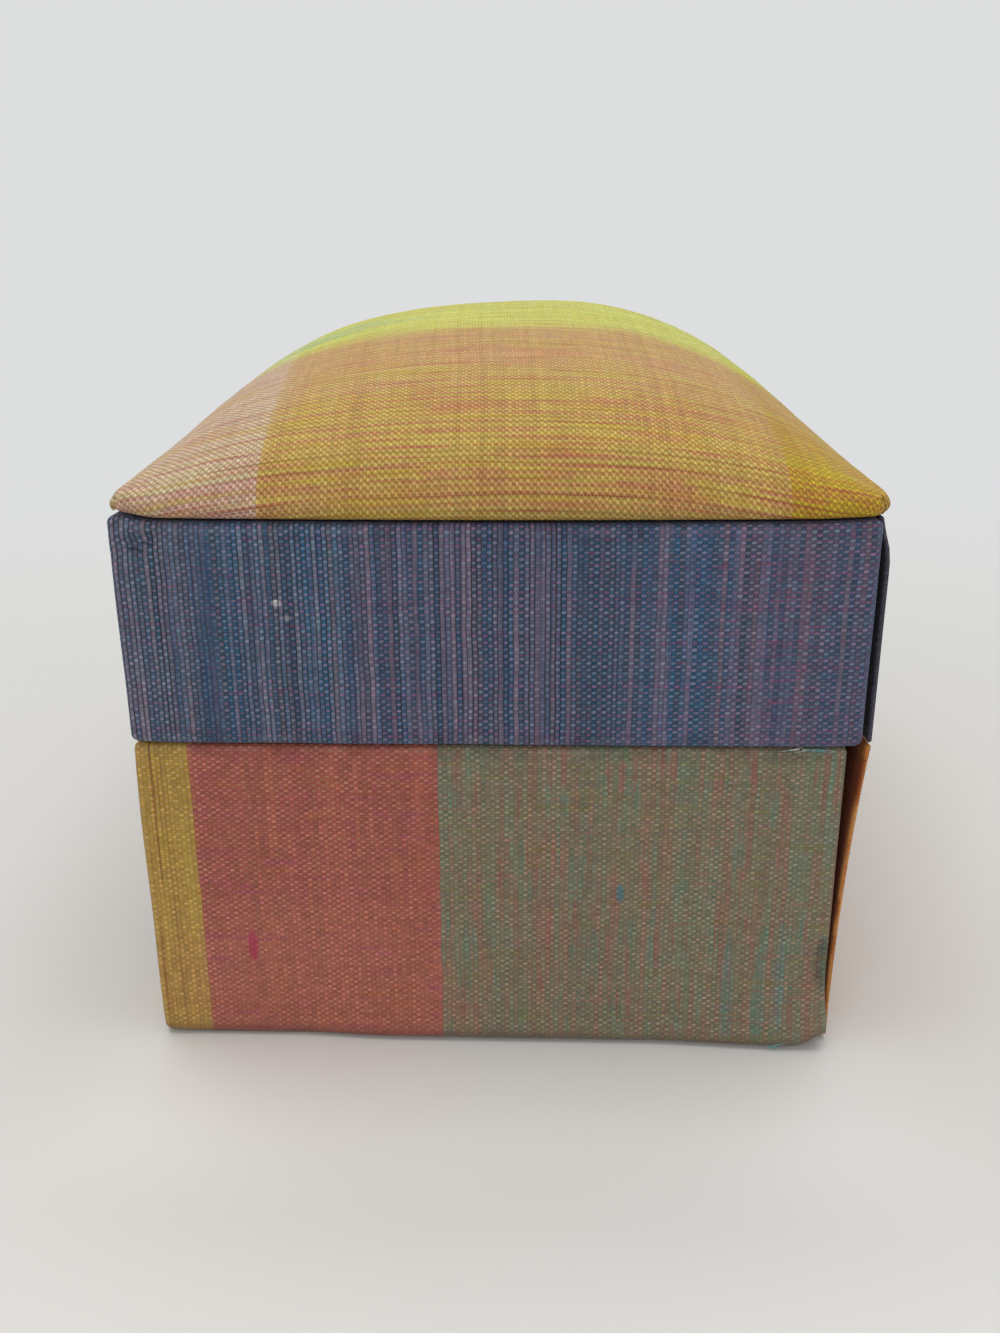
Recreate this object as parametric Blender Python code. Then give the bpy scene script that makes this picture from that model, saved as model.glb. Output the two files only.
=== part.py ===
"""Travel jewelry box: silk over card, with a padded hinged lid, a mirror in it and a lift-out ring tray.

Metres, +Z up. The origin is the middle of the footprint, on the surface that the box stands on.
The photographed narrow end faces -Y, the lid opens from the -X side and its cloth hinge is at +X.
"""

import math

import bmesh
import bpy
import numpy as np

# Overall sizes
lid_width = 0.0916
lid_length = 0.1350
joint_height = 0.0429
seam_height = 0.0714

# Cloth, card and the space left between pieces that touch
fit_gap = 0.0003
silk = 0.0006
hinge_cloth_thick = 0.0004
lid_board = 0.0020
base_board = 0.0030
bottom_board = 0.0025
pad_board = 0.0012
base_lining = 0.0012
lid_lining = 0.0005
ceiling_card = 0.0010
outer_panel_card = 0.0006

# How the lid sits over the base
end_overhang = 0.0010
hinge_overhang = 0.0014
neck_height = 0.0080
neck_clearance = 0.0005

# Silk folded round the edges of the box
corner_radius = 0.0018
edge_radius = 0.0008
base_turn_in = 0.0060
lid_turn_over = 0.0080
outer_panel_setback = 0.0020

# Padded top of the lid
pad_edge = 0.0023
pad_crown = 0.0196
pad_edge_draw = 0.0005
pad_turn_in = 0.0090
pad_corner_cut = 0.0007
pad_ear_rise = 0.0008
pad_board_inset = 0.0020
pad_board_corner = 0.0050
wadding_inset = 0.0030

# Inside the lid
mirror_glass = 0.0020
mirror_frame_thick = 0.0024
mirror_frame_width = 0.0075
mirror_corner = 0.0030

# Inside the base
floor_pad_thick = 0.0030
floor_pad_rounding = 0.0010
divider_card = 0.0016
well_divider_height = 0.0180
tray_rest_card = 0.0016

# Tray
tray_clearance = 0.0005
tray_sink = 0.0003
tray_lift_clearance = 0.0003
tray_floor_card = 0.0016
tray_wall_card = 0.0016
roll_side_gap = 0.0003
ribbon_width = 0.0100
ribbon_thick = 0.0004
ribbon_foot = 0.0015
ribbon_reach = 0.0090
ribbon_bend = 0.0014
ribbon_fold = 0.0006

# Hinge cloth
hinge_cloth_length = 0.1100
hinge_leaf = 0.0140
hinge_slack = 0.0080

# Rounding and joining of meshes
card_rounding = 0.0003
weld_distance = 0.000001
corner_steps = 4
edge_steps = 3
pad_cells_across = 18
pad_cells_along = 24
wadding_cells_across = 14
wadding_cells_along = 18
line_steps = 14

# Levels, from the surface up
underside_high = fit_gap + silk
base_cover_low = fit_gap
base_cover_high = joint_height - fit_gap / 2
bottom_low = underside_high + fit_gap
bottom_high = bottom_low + bottom_board
base_wall_low = bottom_high + fit_gap
base_wall_high = base_cover_high - silk - fit_gap
neck_high = joint_height + neck_height
lid_cover_low = joint_height + fit_gap / 2
lid_cover_high = seam_height - fit_gap / 2
lid_wall_low = lid_cover_low + silk + fit_gap
lid_top_high = lid_cover_high - silk - fit_gap
lid_top_low = lid_top_high - lid_board
lid_wall_high = lid_top_low - fit_gap
ceiling_high = lid_top_low - fit_gap
ceiling_low = ceiling_high - ceiling_card
mirror_high = ceiling_low - fit_gap
mirror_low = mirror_high - mirror_glass
frame_low = mirror_high - mirror_frame_thick
pad_low = seam_height + fit_gap / 2
pad_board_low = pad_low + silk + fit_gap
pad_board_high = pad_board_low + pad_board
wadding_low = pad_board_high + fit_gap

# Sides of the box. Left is -X, right is the hinge side, front is the photographed end at -Y
skin = silk + fit_gap
lid_wall = skin + lid_board + fit_gap + lid_lining
base_wall = skin + base_board + fit_gap
hinge_x = lid_width / 2
outer_panel_layer = fit_gap + hinge_cloth_thick + fit_gap + outer_panel_card
rim_left = -lid_width / 2
rim_right = hinge_x - outer_panel_layer
rim_back = lid_length / 2
rim_front = -rim_back
lid_reach = hinge_x - rim_left - lid_wall
neck_swing = lid_reach - math.sqrt(lid_reach**2 - neck_height**2)
open_overhang = lid_wall - base_wall + neck_clearance + neck_swing
base_left = rim_left + open_overhang
base_right = rim_right - hinge_overhang
base_back = rim_back - end_overhang
base_front = -base_back

# Inner faces of the base lining, which the tray and the well share
well_left = base_left + base_wall + base_lining
well_right = base_right - base_wall - base_lining
well_back = base_back - base_wall - base_lining
well_front = -well_back

# The tray is as deep as lets it lift clear of the neck beneath the closed lid
tray_high = neck_high - tray_sink
tray_height = frame_low - neck_high - 2 * tray_lift_clearance
tray_low = tray_high - tray_height
tray_left = well_left + tray_clearance
tray_right = well_right - tray_clearance
tray_back = well_back - tray_clearance
tray_front = -tray_back
tray_floor_high = tray_low + tray_floor_card
roll_radius = (tray_height - tray_floor_card - 2 * fit_gap) / 2
roll_count = 4
divider_height_share = 0.86

# Finish of each kind of piece: colour, roughness
looks = {
    "greyboard": ((0.45, 0.40, 0.33), 0.95),
    "plaid_silk": ((0.55, 0.27, 0.16), 0.62),
    "blue_silk": ((0.13, 0.17, 0.31), 0.60),
    "brown_silk": ((0.42, 0.16, 0.05), 0.60),
    "dark_silk": ((0.05, 0.05, 0.10), 0.60),
    "gold_silk": ((0.62, 0.42, 0.10), 0.58),
    "teal_silk": ((0.06, 0.34, 0.36), 0.50),
    "teal_velvet": ((0.02, 0.15, 0.17), 0.90),
    "wadding": ((0.85, 0.83, 0.78), 1.0),
    "mirror": ((0.85, 0.88, 0.90), 0.03),
    "ribbon": ((0.70, 0.50, 0.14), 0.45),
}


def clear_scene():
    for obj in list(bpy.data.objects):
        bpy.data.objects.remove(obj, do_unlink=True)


def add_body(name, location):
    """An empty that carries one rigid body, standing on the body's own joint."""
    empty = bpy.data.objects.new(name, None)
    empty.location = location
    bpy.context.scene.collection.objects.link(empty)
    return empty


def add_material(obj, look):
    colour, roughness = looks[look]
    material = bpy.data.materials.new(obj.name + "_" + look)
    material.use_nodes = True
    shader = material.node_tree.nodes["Principled BSDF"]
    shader.inputs["Base Color"].default_value = (*colour, 1)
    shader.inputs["Roughness"].default_value = roughness
    shader.inputs["Metallic"].default_value = 1.0 if look == "mirror" else 0.0
    obj.data.materials.append(material)


def place(name, shape, location, body, look, smooth=False):
    """Turns the bmesh into a named object of the body, its origin at location in the world."""
    bmesh.ops.remove_doubles(shape, verts=shape.verts, dist=weld_distance)
    bmesh.ops.recalc_face_normals(shape, faces=shape.faces)
    mesh = bpy.data.meshes.new(name)
    shape.to_mesh(mesh)
    shape.free()
    if smooth:
        mesh.shade_smooth()
        mesh.set_sharp_from_angle(angle=math.radians(40))
    obj = bpy.data.objects.new(name, mesh)
    obj.parent = body
    obj.location = [world - start for world, start in zip(location, body.location)]
    bpy.context.scene.collection.objects.link(obj)
    add_material(obj, look)
    return obj


def round_edges(obj, size, rounding):
    """Rounds every edge, by no more than a third of the thinnest side."""
    bevel = obj.modifiers.new("rounded_edges", "BEVEL")
    bevel.width = min(rounding, min(size) / 3)
    bevel.segments = 2
    bevel.limit_method = "NONE"


def panel(name, x, y, z, body, look, rounding=card_rounding):
    """A covered card panel that fills the (low, high) pairs x, y and z."""
    size = [high - low for low, high in (x, y, z)]
    middle = [(low + high) / 2 for low, high in (x, y, z)]
    shape = bmesh.new()
    bmesh.ops.create_cube(shape, size=1)
    bmesh.ops.scale(shape, vec=size, verts=shape.verts)
    obj = place(name, shape, middle, body, look)
    round_edges(obj, size, rounding)
    return obj


def arc(centre, radius, start, end, steps):
    """Points of an arc from the angle start to end, in degrees."""
    angles = np.radians(np.linspace(start, end, steps + 1))
    return np.asarray(centre) + radius * np.stack([np.cos(angles), np.sin(angles)], axis=1)


def plan_outline(sides, radius, inset):
    """A rectangle with rounded corners, drawn in by inset. Each corner keeps its number of points."""
    left, right, front, back = sides
    inner = max(radius - inset, 0)
    far = inset + inner
    corners = (
        ((right - far, back - far), 0),
        ((left + far, back - far), 90),
        ((left + far, front + far), 180),
        ((right - far, front + far), 270),
    )
    return np.vstack([arc(centre, inner, turn, turn + 90, corner_steps) for centre, turn in corners])


def wrap_section(low, high, low_lip, high_lip):
    """Section of a silk strip as (inset, height): under the low edge, up the face, over the high edge."""
    low_corner = (edge_radius, low + edge_radius)
    high_corner = (edge_radius, high - edge_radius)
    outer = [
        [(low_lip, low)],
        arc(low_corner, edge_radius, 270, 180, edge_steps),
        arc(high_corner, edge_radius, 180, 90, edge_steps),
        [(high_lip, high)],
    ]
    inner = [[(high_lip, high - silk), (silk, high - silk), (silk, low + silk), (low_lip, low + silk)]]
    return np.vstack(outer + inner)


def swept_ring(name, sides, radius, section, body, look):
    """Carries a closed section of (inset, height) points round the plan outline of the sides."""
    shape = bmesh.new()
    rows = []
    for inset, height in section:
        plan = plan_outline(sides, radius, inset)
        rows.append([shape.verts.new((x, y, height)) for x, y in plan])
    for row, next_row in zip(rows, rows[1:] + rows[:1]):
        for i, corner in enumerate(row):
            shape.faces.new((row[i - 1], corner, next_row[i], next_row[i - 1]))
    bmesh.ops.dissolve_degenerate(shape, dist=weld_distance, edges=shape.edges)
    bmesh.ops.translate(shape, vec=-body.location, verts=shape.verts)
    return place(name, shape, body.location, body, look, smooth=True)


def strip_section(line, thick):
    """Outline of a strip of even thickness whose middle follows the line."""
    line = np.asarray(line)
    along = np.gradient(line, axis=0)
    along /= np.linalg.norm(along, axis=1, keepdims=True)
    side = np.stack([-along[:, 1], along[:, 0]], axis=1) * thick / 2
    return np.vstack([line + side, (line - side)[::-1]])


def extruded_strip(name, section, to_world, width, middle, body, look):
    """Extrudes a section by width. to_world turns a section point and a side step into x, y and z."""
    shape = bmesh.new()
    verts = [shape.verts.new(to_world(point, -width / 2)) for point in section]
    face = shape.faces.new(verts)
    grown = bmesh.ops.extrude_face_region(shape, geom=[face])
    moved = [item for item in grown["geom"] if isinstance(item, bmesh.types.BMVert)]
    step = np.subtract(to_world(section[0], width / 2), to_world(section[0], -width / 2))
    bmesh.ops.translate(shape, vec=step, verts=moved)
    return place(name, shape, middle, body, look, smooth=True)


def crown_grid(half_x, half_y, base, crown, cells_across, cells_along):
    """Grid of the padded top.

    Height is base + crown * (1 - |s|^2.4)^0.66 * (1 - |t|^1.6)^0.55 for shares s across and t along,
    with a small ear raised at each corner and the corner itself cut round.
    """
    s = np.sin(np.linspace(-math.pi / 2, math.pi / 2, cells_across + 1))
    t = np.sin(np.linspace(-math.pi / 2, math.pi / 2, cells_along + 1))
    s, t = np.meshgrid(s, t)
    across = np.clip(1 - np.abs(s) ** 2.4, 0, 1) ** 0.66
    along = np.clip(1 - np.abs(t) ** 1.6, 0, 1) ** 0.55
    ear = np.abs(s * t) ** 14
    cut = pad_corner_cut * np.abs(s * t) ** 40
    x = s * half_x - np.sign(s) * cut
    y = t * half_y - np.sign(t) * cut
    z = base + crown * across * along + pad_ear_rise * ear
    return np.stack([x, y, z], axis=2)


def grid_rim(rows):
    """The border of a grid of vertices, in order round it."""
    rim = list(rows[0])
    rim += [row[-1] for row in rows[1:-1]]
    rim += list(rows[-1])[::-1]
    rim += [row[0] for row in rows[-2:0:-1]]
    return rim


def grid_faces(shape, rows):
    for row, next_row in zip(rows, rows[1:]):
        for i in range(len(row) - 1):
            shape.faces.new((row[i], row[i + 1], next_row[i + 1], next_row[i]))


def band_faces(shape, ring, next_ring):
    for i, corner in enumerate(ring):
        shape.faces.new((ring[i - 1], corner, next_ring[i], next_ring[i - 1]))


def grid_verts(shape, points):
    return [[shape.verts.new(point) for point in row] for row in points]


def drawn_ring(shape, rim, half_x, half_y, inset, height):
    """The rim's outline drawn in by inset, all at one height."""
    share_x = (half_x - inset) / half_x
    share_y = (half_y - inset) / half_y
    return [shape.verts.new((vert.co.x * share_x, vert.co.y * share_y, height)) for vert in rim]


def padded_cover(name, body, look):
    """The silk of the padded top: crowned skin, rounded edge and the cloth turned in under the pad board."""
    half_x = lid_width / 2 - pad_edge_draw
    half_y = lid_length / 2 - pad_edge_draw
    edge_high = pad_low + pad_edge
    cells = (pad_cells_across, pad_cells_along)
    shape = bmesh.new()
    outer = grid_verts(shape, crown_grid(half_x, half_y, edge_high, pad_crown, *cells))
    inner_sizes = (half_x - silk, half_y - silk, edge_high, pad_crown - silk)
    inner = grid_verts(shape, crown_grid(*inner_sizes, *cells))
    rim = grid_rim(outer)
    steps = (
        (-pad_edge_draw, pad_low + pad_edge * 2 / 3),
        (-pad_edge_draw, pad_low + pad_edge / 3),
        (0, pad_low),
        (pad_turn_in, pad_low),
        (pad_turn_in, pad_low + silk),
        (silk, pad_low + silk),
    )
    rings = [drawn_ring(shape, rim, half_x, half_y, inset, height) for inset, height in steps]
    grid_faces(shape, outer)
    grid_faces(shape, inner)
    for ring, next_ring in zip([rim] + rings, rings + [grid_rim(inner)]):
        band_faces(shape, ring, next_ring)
    bmesh.ops.translate(shape, vec=-body.location, verts=shape.verts)
    return place(name, shape, body.location, body, look, smooth=True)


def wadding(name, body, look):
    """The wadding on the pad board: the same crown inside the silk, flat underneath."""
    half_x = lid_width / 2 - wadding_inset
    half_y = lid_length / 2 - wadding_inset
    crown = pad_low + pad_edge + pad_crown - silk - 2 * fit_gap - wadding_low - pad_ear_rise
    cells = (wadding_cells_across, wadding_cells_along)
    shape = bmesh.new()
    top = grid_verts(shape, crown_grid(half_x, half_y, wadding_low + fit_gap, crown, *cells))
    rim = grid_rim(top)
    low = drawn_ring(shape, rim, half_x, half_y, 0, wadding_low)
    grid_faces(shape, top)
    band_faces(shape, rim, low)
    shape.faces.new(low)
    bmesh.ops.translate(shape, vec=-body.location, verts=shape.verts)
    return place(name, shape, body.location, body, look, smooth=True)


def ring_roll(name, middle, radius, length, body, look):
    """A velvet roll across the tray with softly rounded ends."""
    round_end = radius / 2
    half = length / 2 - round_end
    left = arc((-half, radius - round_end), round_end, 180, 90, edge_steps)
    right = arc((half, radius - round_end), round_end, 90, 0, edge_steps)
    profile = np.vstack([[(-length / 2, 0)], left, right, [(length / 2, 0)]])
    shape = bmesh.new()
    verts = [shape.verts.new((x, 0, high)) for x, high in profile]
    edges = [shape.edges.new(pair) for pair in zip(verts, verts[1:])]
    spin = {"cent": (0, 0, 0), "axis": (1, 0, 0), "angle": 2 * math.pi, "steps": 20}
    bmesh.ops.spin(shape, geom=verts + edges, use_merge=True, **spin)
    return place(name, shape, middle, body, look, smooth=True)


def wall_set(names, sides, z, thick, body, look):
    """Front, back, left and right panels inside the sides: the last two run the full length."""
    left, right, front, back = sides
    between = (left + thick + fit_gap, right - thick - fit_gap)
    panel(names[0], between, (front, front + thick), z, body, look)
    panel(names[1], between, (back - thick, back), z, body, look)
    panel(names[2], (left, left + thick), (front, back), z, body, look)
    panel(names[3], (right - thick, right), (front, back), z, body, look)


def wall_names(body_name, kind):
    return ["%s_%s_%s" % (body_name, kind, side) for side in ("front", "back", "left", "right")]


def inside(sides, inset):
    left, right, front, back = sides
    return (left + inset, right - inset, front + inset, back - inset)


def build_base(base):
    sides = (base_left, base_right, base_front, base_back)
    left, right, front, back = inside(sides, base_turn_in + fit_gap)
    panel("base_underside", (left, right), (front, back), (0, underside_high), base, "teal_silk")
    left, right, front, back = inside(sides, skin)
    panel("base_bottom_board", (left, right), (front, back), (bottom_low, bottom_high), base, "greyboard")
    board_z = (base_wall_low, base_wall_high)
    wall_set(wall_names("base", "board"), inside(sides, skin), board_z, base_board, base, "greyboard")
    section = wrap_section(base_cover_low, base_cover_high, base_turn_in, skin + base_board)
    swept_ring("base_cover", sides, corner_radius, section, base, "plaid_silk")
    lining_z = (base_wall_low, neck_high)
    wall_set(wall_names("base", "lining"), inside(sides, base_wall), lining_z, base_lining, base, "teal_silk")
    build_base_outer_panel(base)
    build_well(base)


def build_base_outer_panel(base):
    """The covered panel on the hinge side, which leans out from the foot of the box to the hinge line."""
    foot_x = base_right + fit_gap
    foot_z = base_cover_low + fit_gap
    rise = base_cover_high - foot_z
    lean = math.atan2(hinge_x - outer_panel_card - foot_x, rise)
    length = 2 * (rim_back - outer_panel_setback)
    size = (outer_panel_card, length, rise / math.cos(lean) - outer_panel_card * math.sin(lean))
    shape = bmesh.new()
    bmesh.ops.create_cube(shape, size=1)
    bmesh.ops.scale(shape, vec=size, verts=shape.verts)
    bmesh.ops.translate(shape, vec=(size[0] / 2, 0, size[2] / 2), verts=shape.verts)
    obj = place("base_outer_panel", shape, (foot_x, 0, foot_z), base, "brown_silk")
    obj.rotation_euler = (0, lean, 0)
    round_edges(obj, size, card_rounding)


def build_well(base):
    """What the well holds: the rests that carry the tray, the floor pad and a low divider on it."""
    rest_z = (base_wall_low, tray_low - fit_gap)
    across = (well_left + fit_gap, well_right - fit_gap)
    rest_front = (well_front + fit_gap, well_front + fit_gap + tray_rest_card)
    rest_back = (well_back - fit_gap - tray_rest_card, well_back - fit_gap)
    panel("tray_rest_front", across, rest_front, rest_z, base, "teal_silk")
    panel("tray_rest_back", across, rest_back, rest_z, base, "teal_silk")
    pad_y = (rest_front[1] + fit_gap, rest_back[0] - fit_gap)
    pad_z = (base_wall_low, base_wall_low + floor_pad_thick)
    panel("base_floor_pad", across, pad_y, pad_z, base, "teal_velvet", floor_pad_rounding)
    divider_y = (-divider_card / 2, divider_card / 2)
    divider_z = (pad_z[1] + fit_gap, pad_z[1] + fit_gap + well_divider_height)
    panel("base_well_divider", across, divider_y, divider_z, base, "teal_silk")


def build_hinge_cloth(base):
    """The cloth hinge at rest: glued to the base's side, free for its slack, and glued to the lid's side."""
    base_x = base_right + fit_gap + hinge_cloth_thick / 2
    lid_x = rim_right + fit_gap + hinge_cloth_thick / 2
    free_high = lid_cover_low
    free_low = free_high - hinge_slack
    low = free_low - hinge_leaf
    high = free_high + hinge_leaf
    share = np.linspace(0, 1, line_steps + 1)
    free_x = base_x + (lid_x - base_x) * (3 - 2 * share) * share**2
    free = np.stack([free_x, free_low + hinge_slack * share], axis=1)
    line = np.vstack([[(base_x, low)], free, [(lid_x, high)]])
    section = strip_section(line, hinge_cloth_thick)
    middle = (base_x, 0, free_low)
    to_world = lambda point, step: (point[0] - middle[0], step, point[1] - middle[2])
    extruded_strip("hinge_cloth", section, to_world, hinge_cloth_length, middle, base, "dark_silk")


def build_lid(lid):
    sides = (rim_left, rim_right, rim_front, rim_back)
    left, right, front, back = inside(sides, skin)
    panel("lid_top_board", (left, right), (front, back), (lid_top_low, lid_top_high), lid, "greyboard")
    board_z = (lid_wall_low, lid_wall_high)
    wall_set(wall_names("lid", "board"), inside(sides, skin), board_z, lid_board, lid, "greyboard")
    section = wrap_section(lid_cover_low, lid_cover_high, lid_wall, lid_turn_over)
    swept_ring("lid_rim_cover", sides, corner_radius, section, lid, "blue_silk")
    panel_x = (hinge_x - outer_panel_card, hinge_x)
    panel_y = (rim_front + outer_panel_setback, rim_back - outer_panel_setback)
    panel("lid_outer_panel", panel_x, panel_y, (lid_cover_low, lid_cover_high), lid, "dark_silk")
    lining_z = (lid_wall_low, ceiling_low - fit_gap)
    lining_sides = inside(sides, skin + lid_board + fit_gap)
    wall_set(wall_names("lid", "lining"), lining_sides, lining_z, lid_lining, lid, "teal_silk")
    left, right, front, back = lining_sides
    panel("lid_ceiling", (left, right), (front, back), (ceiling_low, ceiling_high), lid, "teal_silk")
    build_mirror(lid, inside(sides, lid_wall + fit_gap))
    build_pad(lid)


def build_mirror(lid, sides):
    """The mirror and the covered card frame round it, both on the lid's ceiling."""
    round_in = card_rounding
    inner = mirror_frame_width
    low_edge = arc((inner - round_in, frame_low + round_in), round_in, 270, 360, edge_steps)
    section = np.vstack([[(0, mirror_high), (0, frame_low)], low_edge, [(inner, mirror_high)]])
    swept_ring("mirror_frame", sides, mirror_corner, section, lid, "gold_silk")
    left, right, front, back = inside(sides, mirror_frame_width + fit_gap)
    panel("mirror", (left, right), (front, back), (mirror_low, mirror_high), lid, "mirror")


def build_pad(lid):
    """The padded top: a card, its wadding and the silk drawn over both."""
    half_x = lid_width / 2 - pad_board_inset
    half_y = lid_length / 2 - pad_board_inset
    sides = (-half_x, half_x, -half_y, half_y)
    shape = bmesh.new()
    plan = plan_outline(sides, pad_board_corner, 0)
    face = shape.faces.new([shape.verts.new((x, y, 0)) for x, y in plan])
    grown = bmesh.ops.extrude_face_region(shape, geom=[face])
    moved = [item for item in grown["geom"] if isinstance(item, bmesh.types.BMVert)]
    bmesh.ops.translate(shape, vec=(0, 0, pad_board), verts=moved)
    place("lid_pad_board", shape, (0, 0, pad_board_low), lid, "greyboard", smooth=True)
    wadding("lid_pad_wadding", lid, "wadding")
    padded_cover("lid_pad_cover", lid, "gold_silk")


def build_tray(tray):
    """The lift-out tray: ring rolls across its middle and an open compartment at each end."""
    sides = (tray_left, tray_right, tray_front, tray_back)
    panel("tray_floor", sides[:2], sides[2:], (tray_low, tray_floor_high), tray, "teal_silk")
    wall_z = (tray_floor_high + fit_gap, tray_high)
    wall_set(wall_names("tray", "wall"), sides, wall_z, tray_wall_card, tray, "teal_silk")
    left, right, front, back = inside(sides, tray_wall_card)
    across = (left + fit_gap, right - fit_gap)
    pitch = 2 * roll_radius + roll_side_gap
    bed_half = roll_count * pitch / 2
    divider_high = wall_z[0] + (tray_high - wall_z[0]) * divider_height_share
    divider_z = (wall_z[0], divider_high)
    front_y = (-bed_half - divider_card, -bed_half)
    back_y = (bed_half, bed_half + divider_card)
    panel("tray_divider_front", across, front_y, divider_z, tray, "teal_silk")
    panel("tray_divider_back", across, back_y, divider_z, tray, "teal_silk")
    middle_x = (left + right) / 2
    roll_z = tray_floor_high + fit_gap + roll_radius
    for number in range(roll_count):
        roll_y = -bed_half + (number + 1 / 2) * pitch
        name = "ring_roll_%d" % (number + 1)
        ring_roll(name, (middle_x, roll_y, roll_z), roll_radius, across[1] - across[0], tray, "teal_velvet")
    build_pull("tray_pull_front", front, 1, middle_x, tray)
    build_pull("tray_pull_back", back, -1, middle_x, tray)


def build_pull(name, wall_y, inward, middle_x, tray):
    """A ribbon pull: glued up the inside of the end wall, bent over inwards and folded back on itself."""
    reach = ribbon_reach
    start = fit_gap + ribbon_thick / 2
    lie = tray_high - 2 * ribbon_fold - ribbon_thick
    bend_centre = (start + ribbon_bend, lie - ribbon_bend)
    fold_centre = (start + ribbon_bend + reach, lie + ribbon_fold)
    line = np.vstack([
        [(start, tray_floor_high + ribbon_foot)],
        arc(bend_centre, ribbon_bend, 180, 90, corner_steps),
        arc(fold_centre, ribbon_fold, -90, 90, corner_steps),
        [(start + ribbon_bend, lie + 2 * ribbon_fold)],
    ])
    section = strip_section(line, ribbon_thick)
    middle = (middle_x, wall_y, tray_low)
    to_world = lambda point, step: (step, inward * point[0], point[1] - middle[2])
    extruded_strip(name, section, to_world, ribbon_width, middle, tray, "ribbon")


def main():
    clear_scene()
    base = add_body("base_body", (0, 0, 0))
    lid = add_body("lid_body", (hinge_x, 0, joint_height))
    tray = add_body("tray_body", ((tray_left + tray_right) / 2, 0, tray_low))
    build_base(base)
    build_hinge_cloth(base)
    build_lid(lid)
    build_tray(tray)


main()
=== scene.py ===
import math

import bmesh
import bpy
import numpy as np
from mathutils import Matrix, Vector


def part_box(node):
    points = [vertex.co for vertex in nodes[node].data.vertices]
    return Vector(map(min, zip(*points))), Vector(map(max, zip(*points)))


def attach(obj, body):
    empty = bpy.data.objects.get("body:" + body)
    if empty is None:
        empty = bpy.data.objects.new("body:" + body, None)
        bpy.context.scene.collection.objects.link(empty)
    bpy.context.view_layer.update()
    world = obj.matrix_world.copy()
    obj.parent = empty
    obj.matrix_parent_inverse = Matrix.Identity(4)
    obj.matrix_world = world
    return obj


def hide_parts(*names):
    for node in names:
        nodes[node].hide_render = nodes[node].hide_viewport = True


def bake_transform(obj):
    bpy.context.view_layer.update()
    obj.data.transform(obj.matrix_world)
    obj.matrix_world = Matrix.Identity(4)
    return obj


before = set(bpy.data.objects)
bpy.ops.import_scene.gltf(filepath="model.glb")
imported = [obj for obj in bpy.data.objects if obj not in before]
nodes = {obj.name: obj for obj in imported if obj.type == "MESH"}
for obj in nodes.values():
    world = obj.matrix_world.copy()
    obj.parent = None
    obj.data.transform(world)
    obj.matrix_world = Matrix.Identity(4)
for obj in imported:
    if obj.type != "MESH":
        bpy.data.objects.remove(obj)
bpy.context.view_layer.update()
mm = 0.001
quarterTurn = math.pi / 2
print("frame loaded:", len(nodes), "pieces")


# Nodes and materials

def dye(red, green, blue):
    # screen colour from 0 to 255 to a scene colour: ((c + 0.055) / 1.055) ^ 2.4
    screen = np.array([red, green, blue]) / 255
    return (*np.where(screen > 0.04045, ((screen + 0.055) / 1.055) ** 2.4, screen / 12.92).tolist(), 1)


class Wire:
    # a value that runs between nodes: arithmetic with it adds the Math nodes that work it out
    def __init__(self, socket):
        self.socket = socket

    def __add__(self, other):
        return maths("ADD", self, other)

    def __sub__(self, other):
        return maths("SUBTRACT", self, other)

    def __rsub__(self, other):
        return maths("SUBTRACT", other, self)

    def __mul__(self, other):
        return maths("MULTIPLY", self, other)

    def __truediv__(self, other):
        return maths("DIVIDE", self, other)

    __radd__, __rmul__ = __add__, __mul__


def feed(socket, value):
    # a wire is linked to the socket, any other value is set on it
    if isinstance(value, Wire):
        socket.id_data.links.new(value.socket, socket)
    else:
        socket.default_value = value


def addNode(tree, kind, output, sockets=None, **settings):
    # a node with its sockets fed by name or number, as the wire from one of its outputs
    made = tree.nodes.new("ShaderNode" + kind)
    for name, value in settings.items():
        setattr(made, name, value)
    for name, value in (sockets or {}).items():
        feed(made.inputs[name], value)
    return Wire(made.outputs[output])


def treeOf(*values):
    # the node tree of the first wire among the values
    return next(value.socket.id_data for value in values if isinstance(value, Wire))


def maths(operation, *values):
    return addNode(treeOf(*values), "Math", 0, dict(enumerate(values)), operation=operation)


def vectorMaths(operation, *values):
    output = "Value" if operation == "LENGTH" else "Vector"
    return addNode(treeOf(*values), "VectorMath", output, dict(enumerate(values)), operation=operation)


def vectorOf(*values):
    return addNode(treeOf(*values), "CombineXYZ", 0, dict(enumerate(values)))


def axes(vector):
    # the vector's x, y and z
    made = addNode(treeOf(vector), "SeparateXYZ", 0, {0: vector}).socket.node
    return [Wire(output) for output in made.outputs]


def blendColours(share, first, second, way="MIX"):
    sockets = {0: share, 6: first, 7: second}
    return addNode(treeOf(*sockets.values()), "Mix", 2, sockets, data_type="RGBA", blend_type=way)


def darken(colour, share):
    # the colour times that share
    shares = vectorOf(share, share, share) if isinstance(share, Wire) else (share, share, share, 1)
    return blendColours(1, colour, shares, "MULTIPLY")


def colourRamp(share, stops, step="CONSTANT"):
    # the colour of the last stop whose place the share has passed, or a mix of the two stops beside it
    made = addNode(treeOf(share), "ValToRGB", "Color", {"Fac": share})
    ramp = made.socket.node.color_ramp
    ramp.interpolation = step
    ramp.elements.remove(ramp.elements[1])
    for number, (place, colour) in enumerate(stops):
        band = ramp.elements.new(place) if number else ramp.elements[0]
        band.position = place
        band.color = colour
    return made


def fade(value, low, high):
    # 0 below low, 1 above high, a smooth step between
    sockets = {"Value": value, "From Min": low, "From Max": high}
    return addNode(treeOf(value), "MapRange", "Result", sockets, interpolation_type="SMOOTHSTEP")


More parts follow.
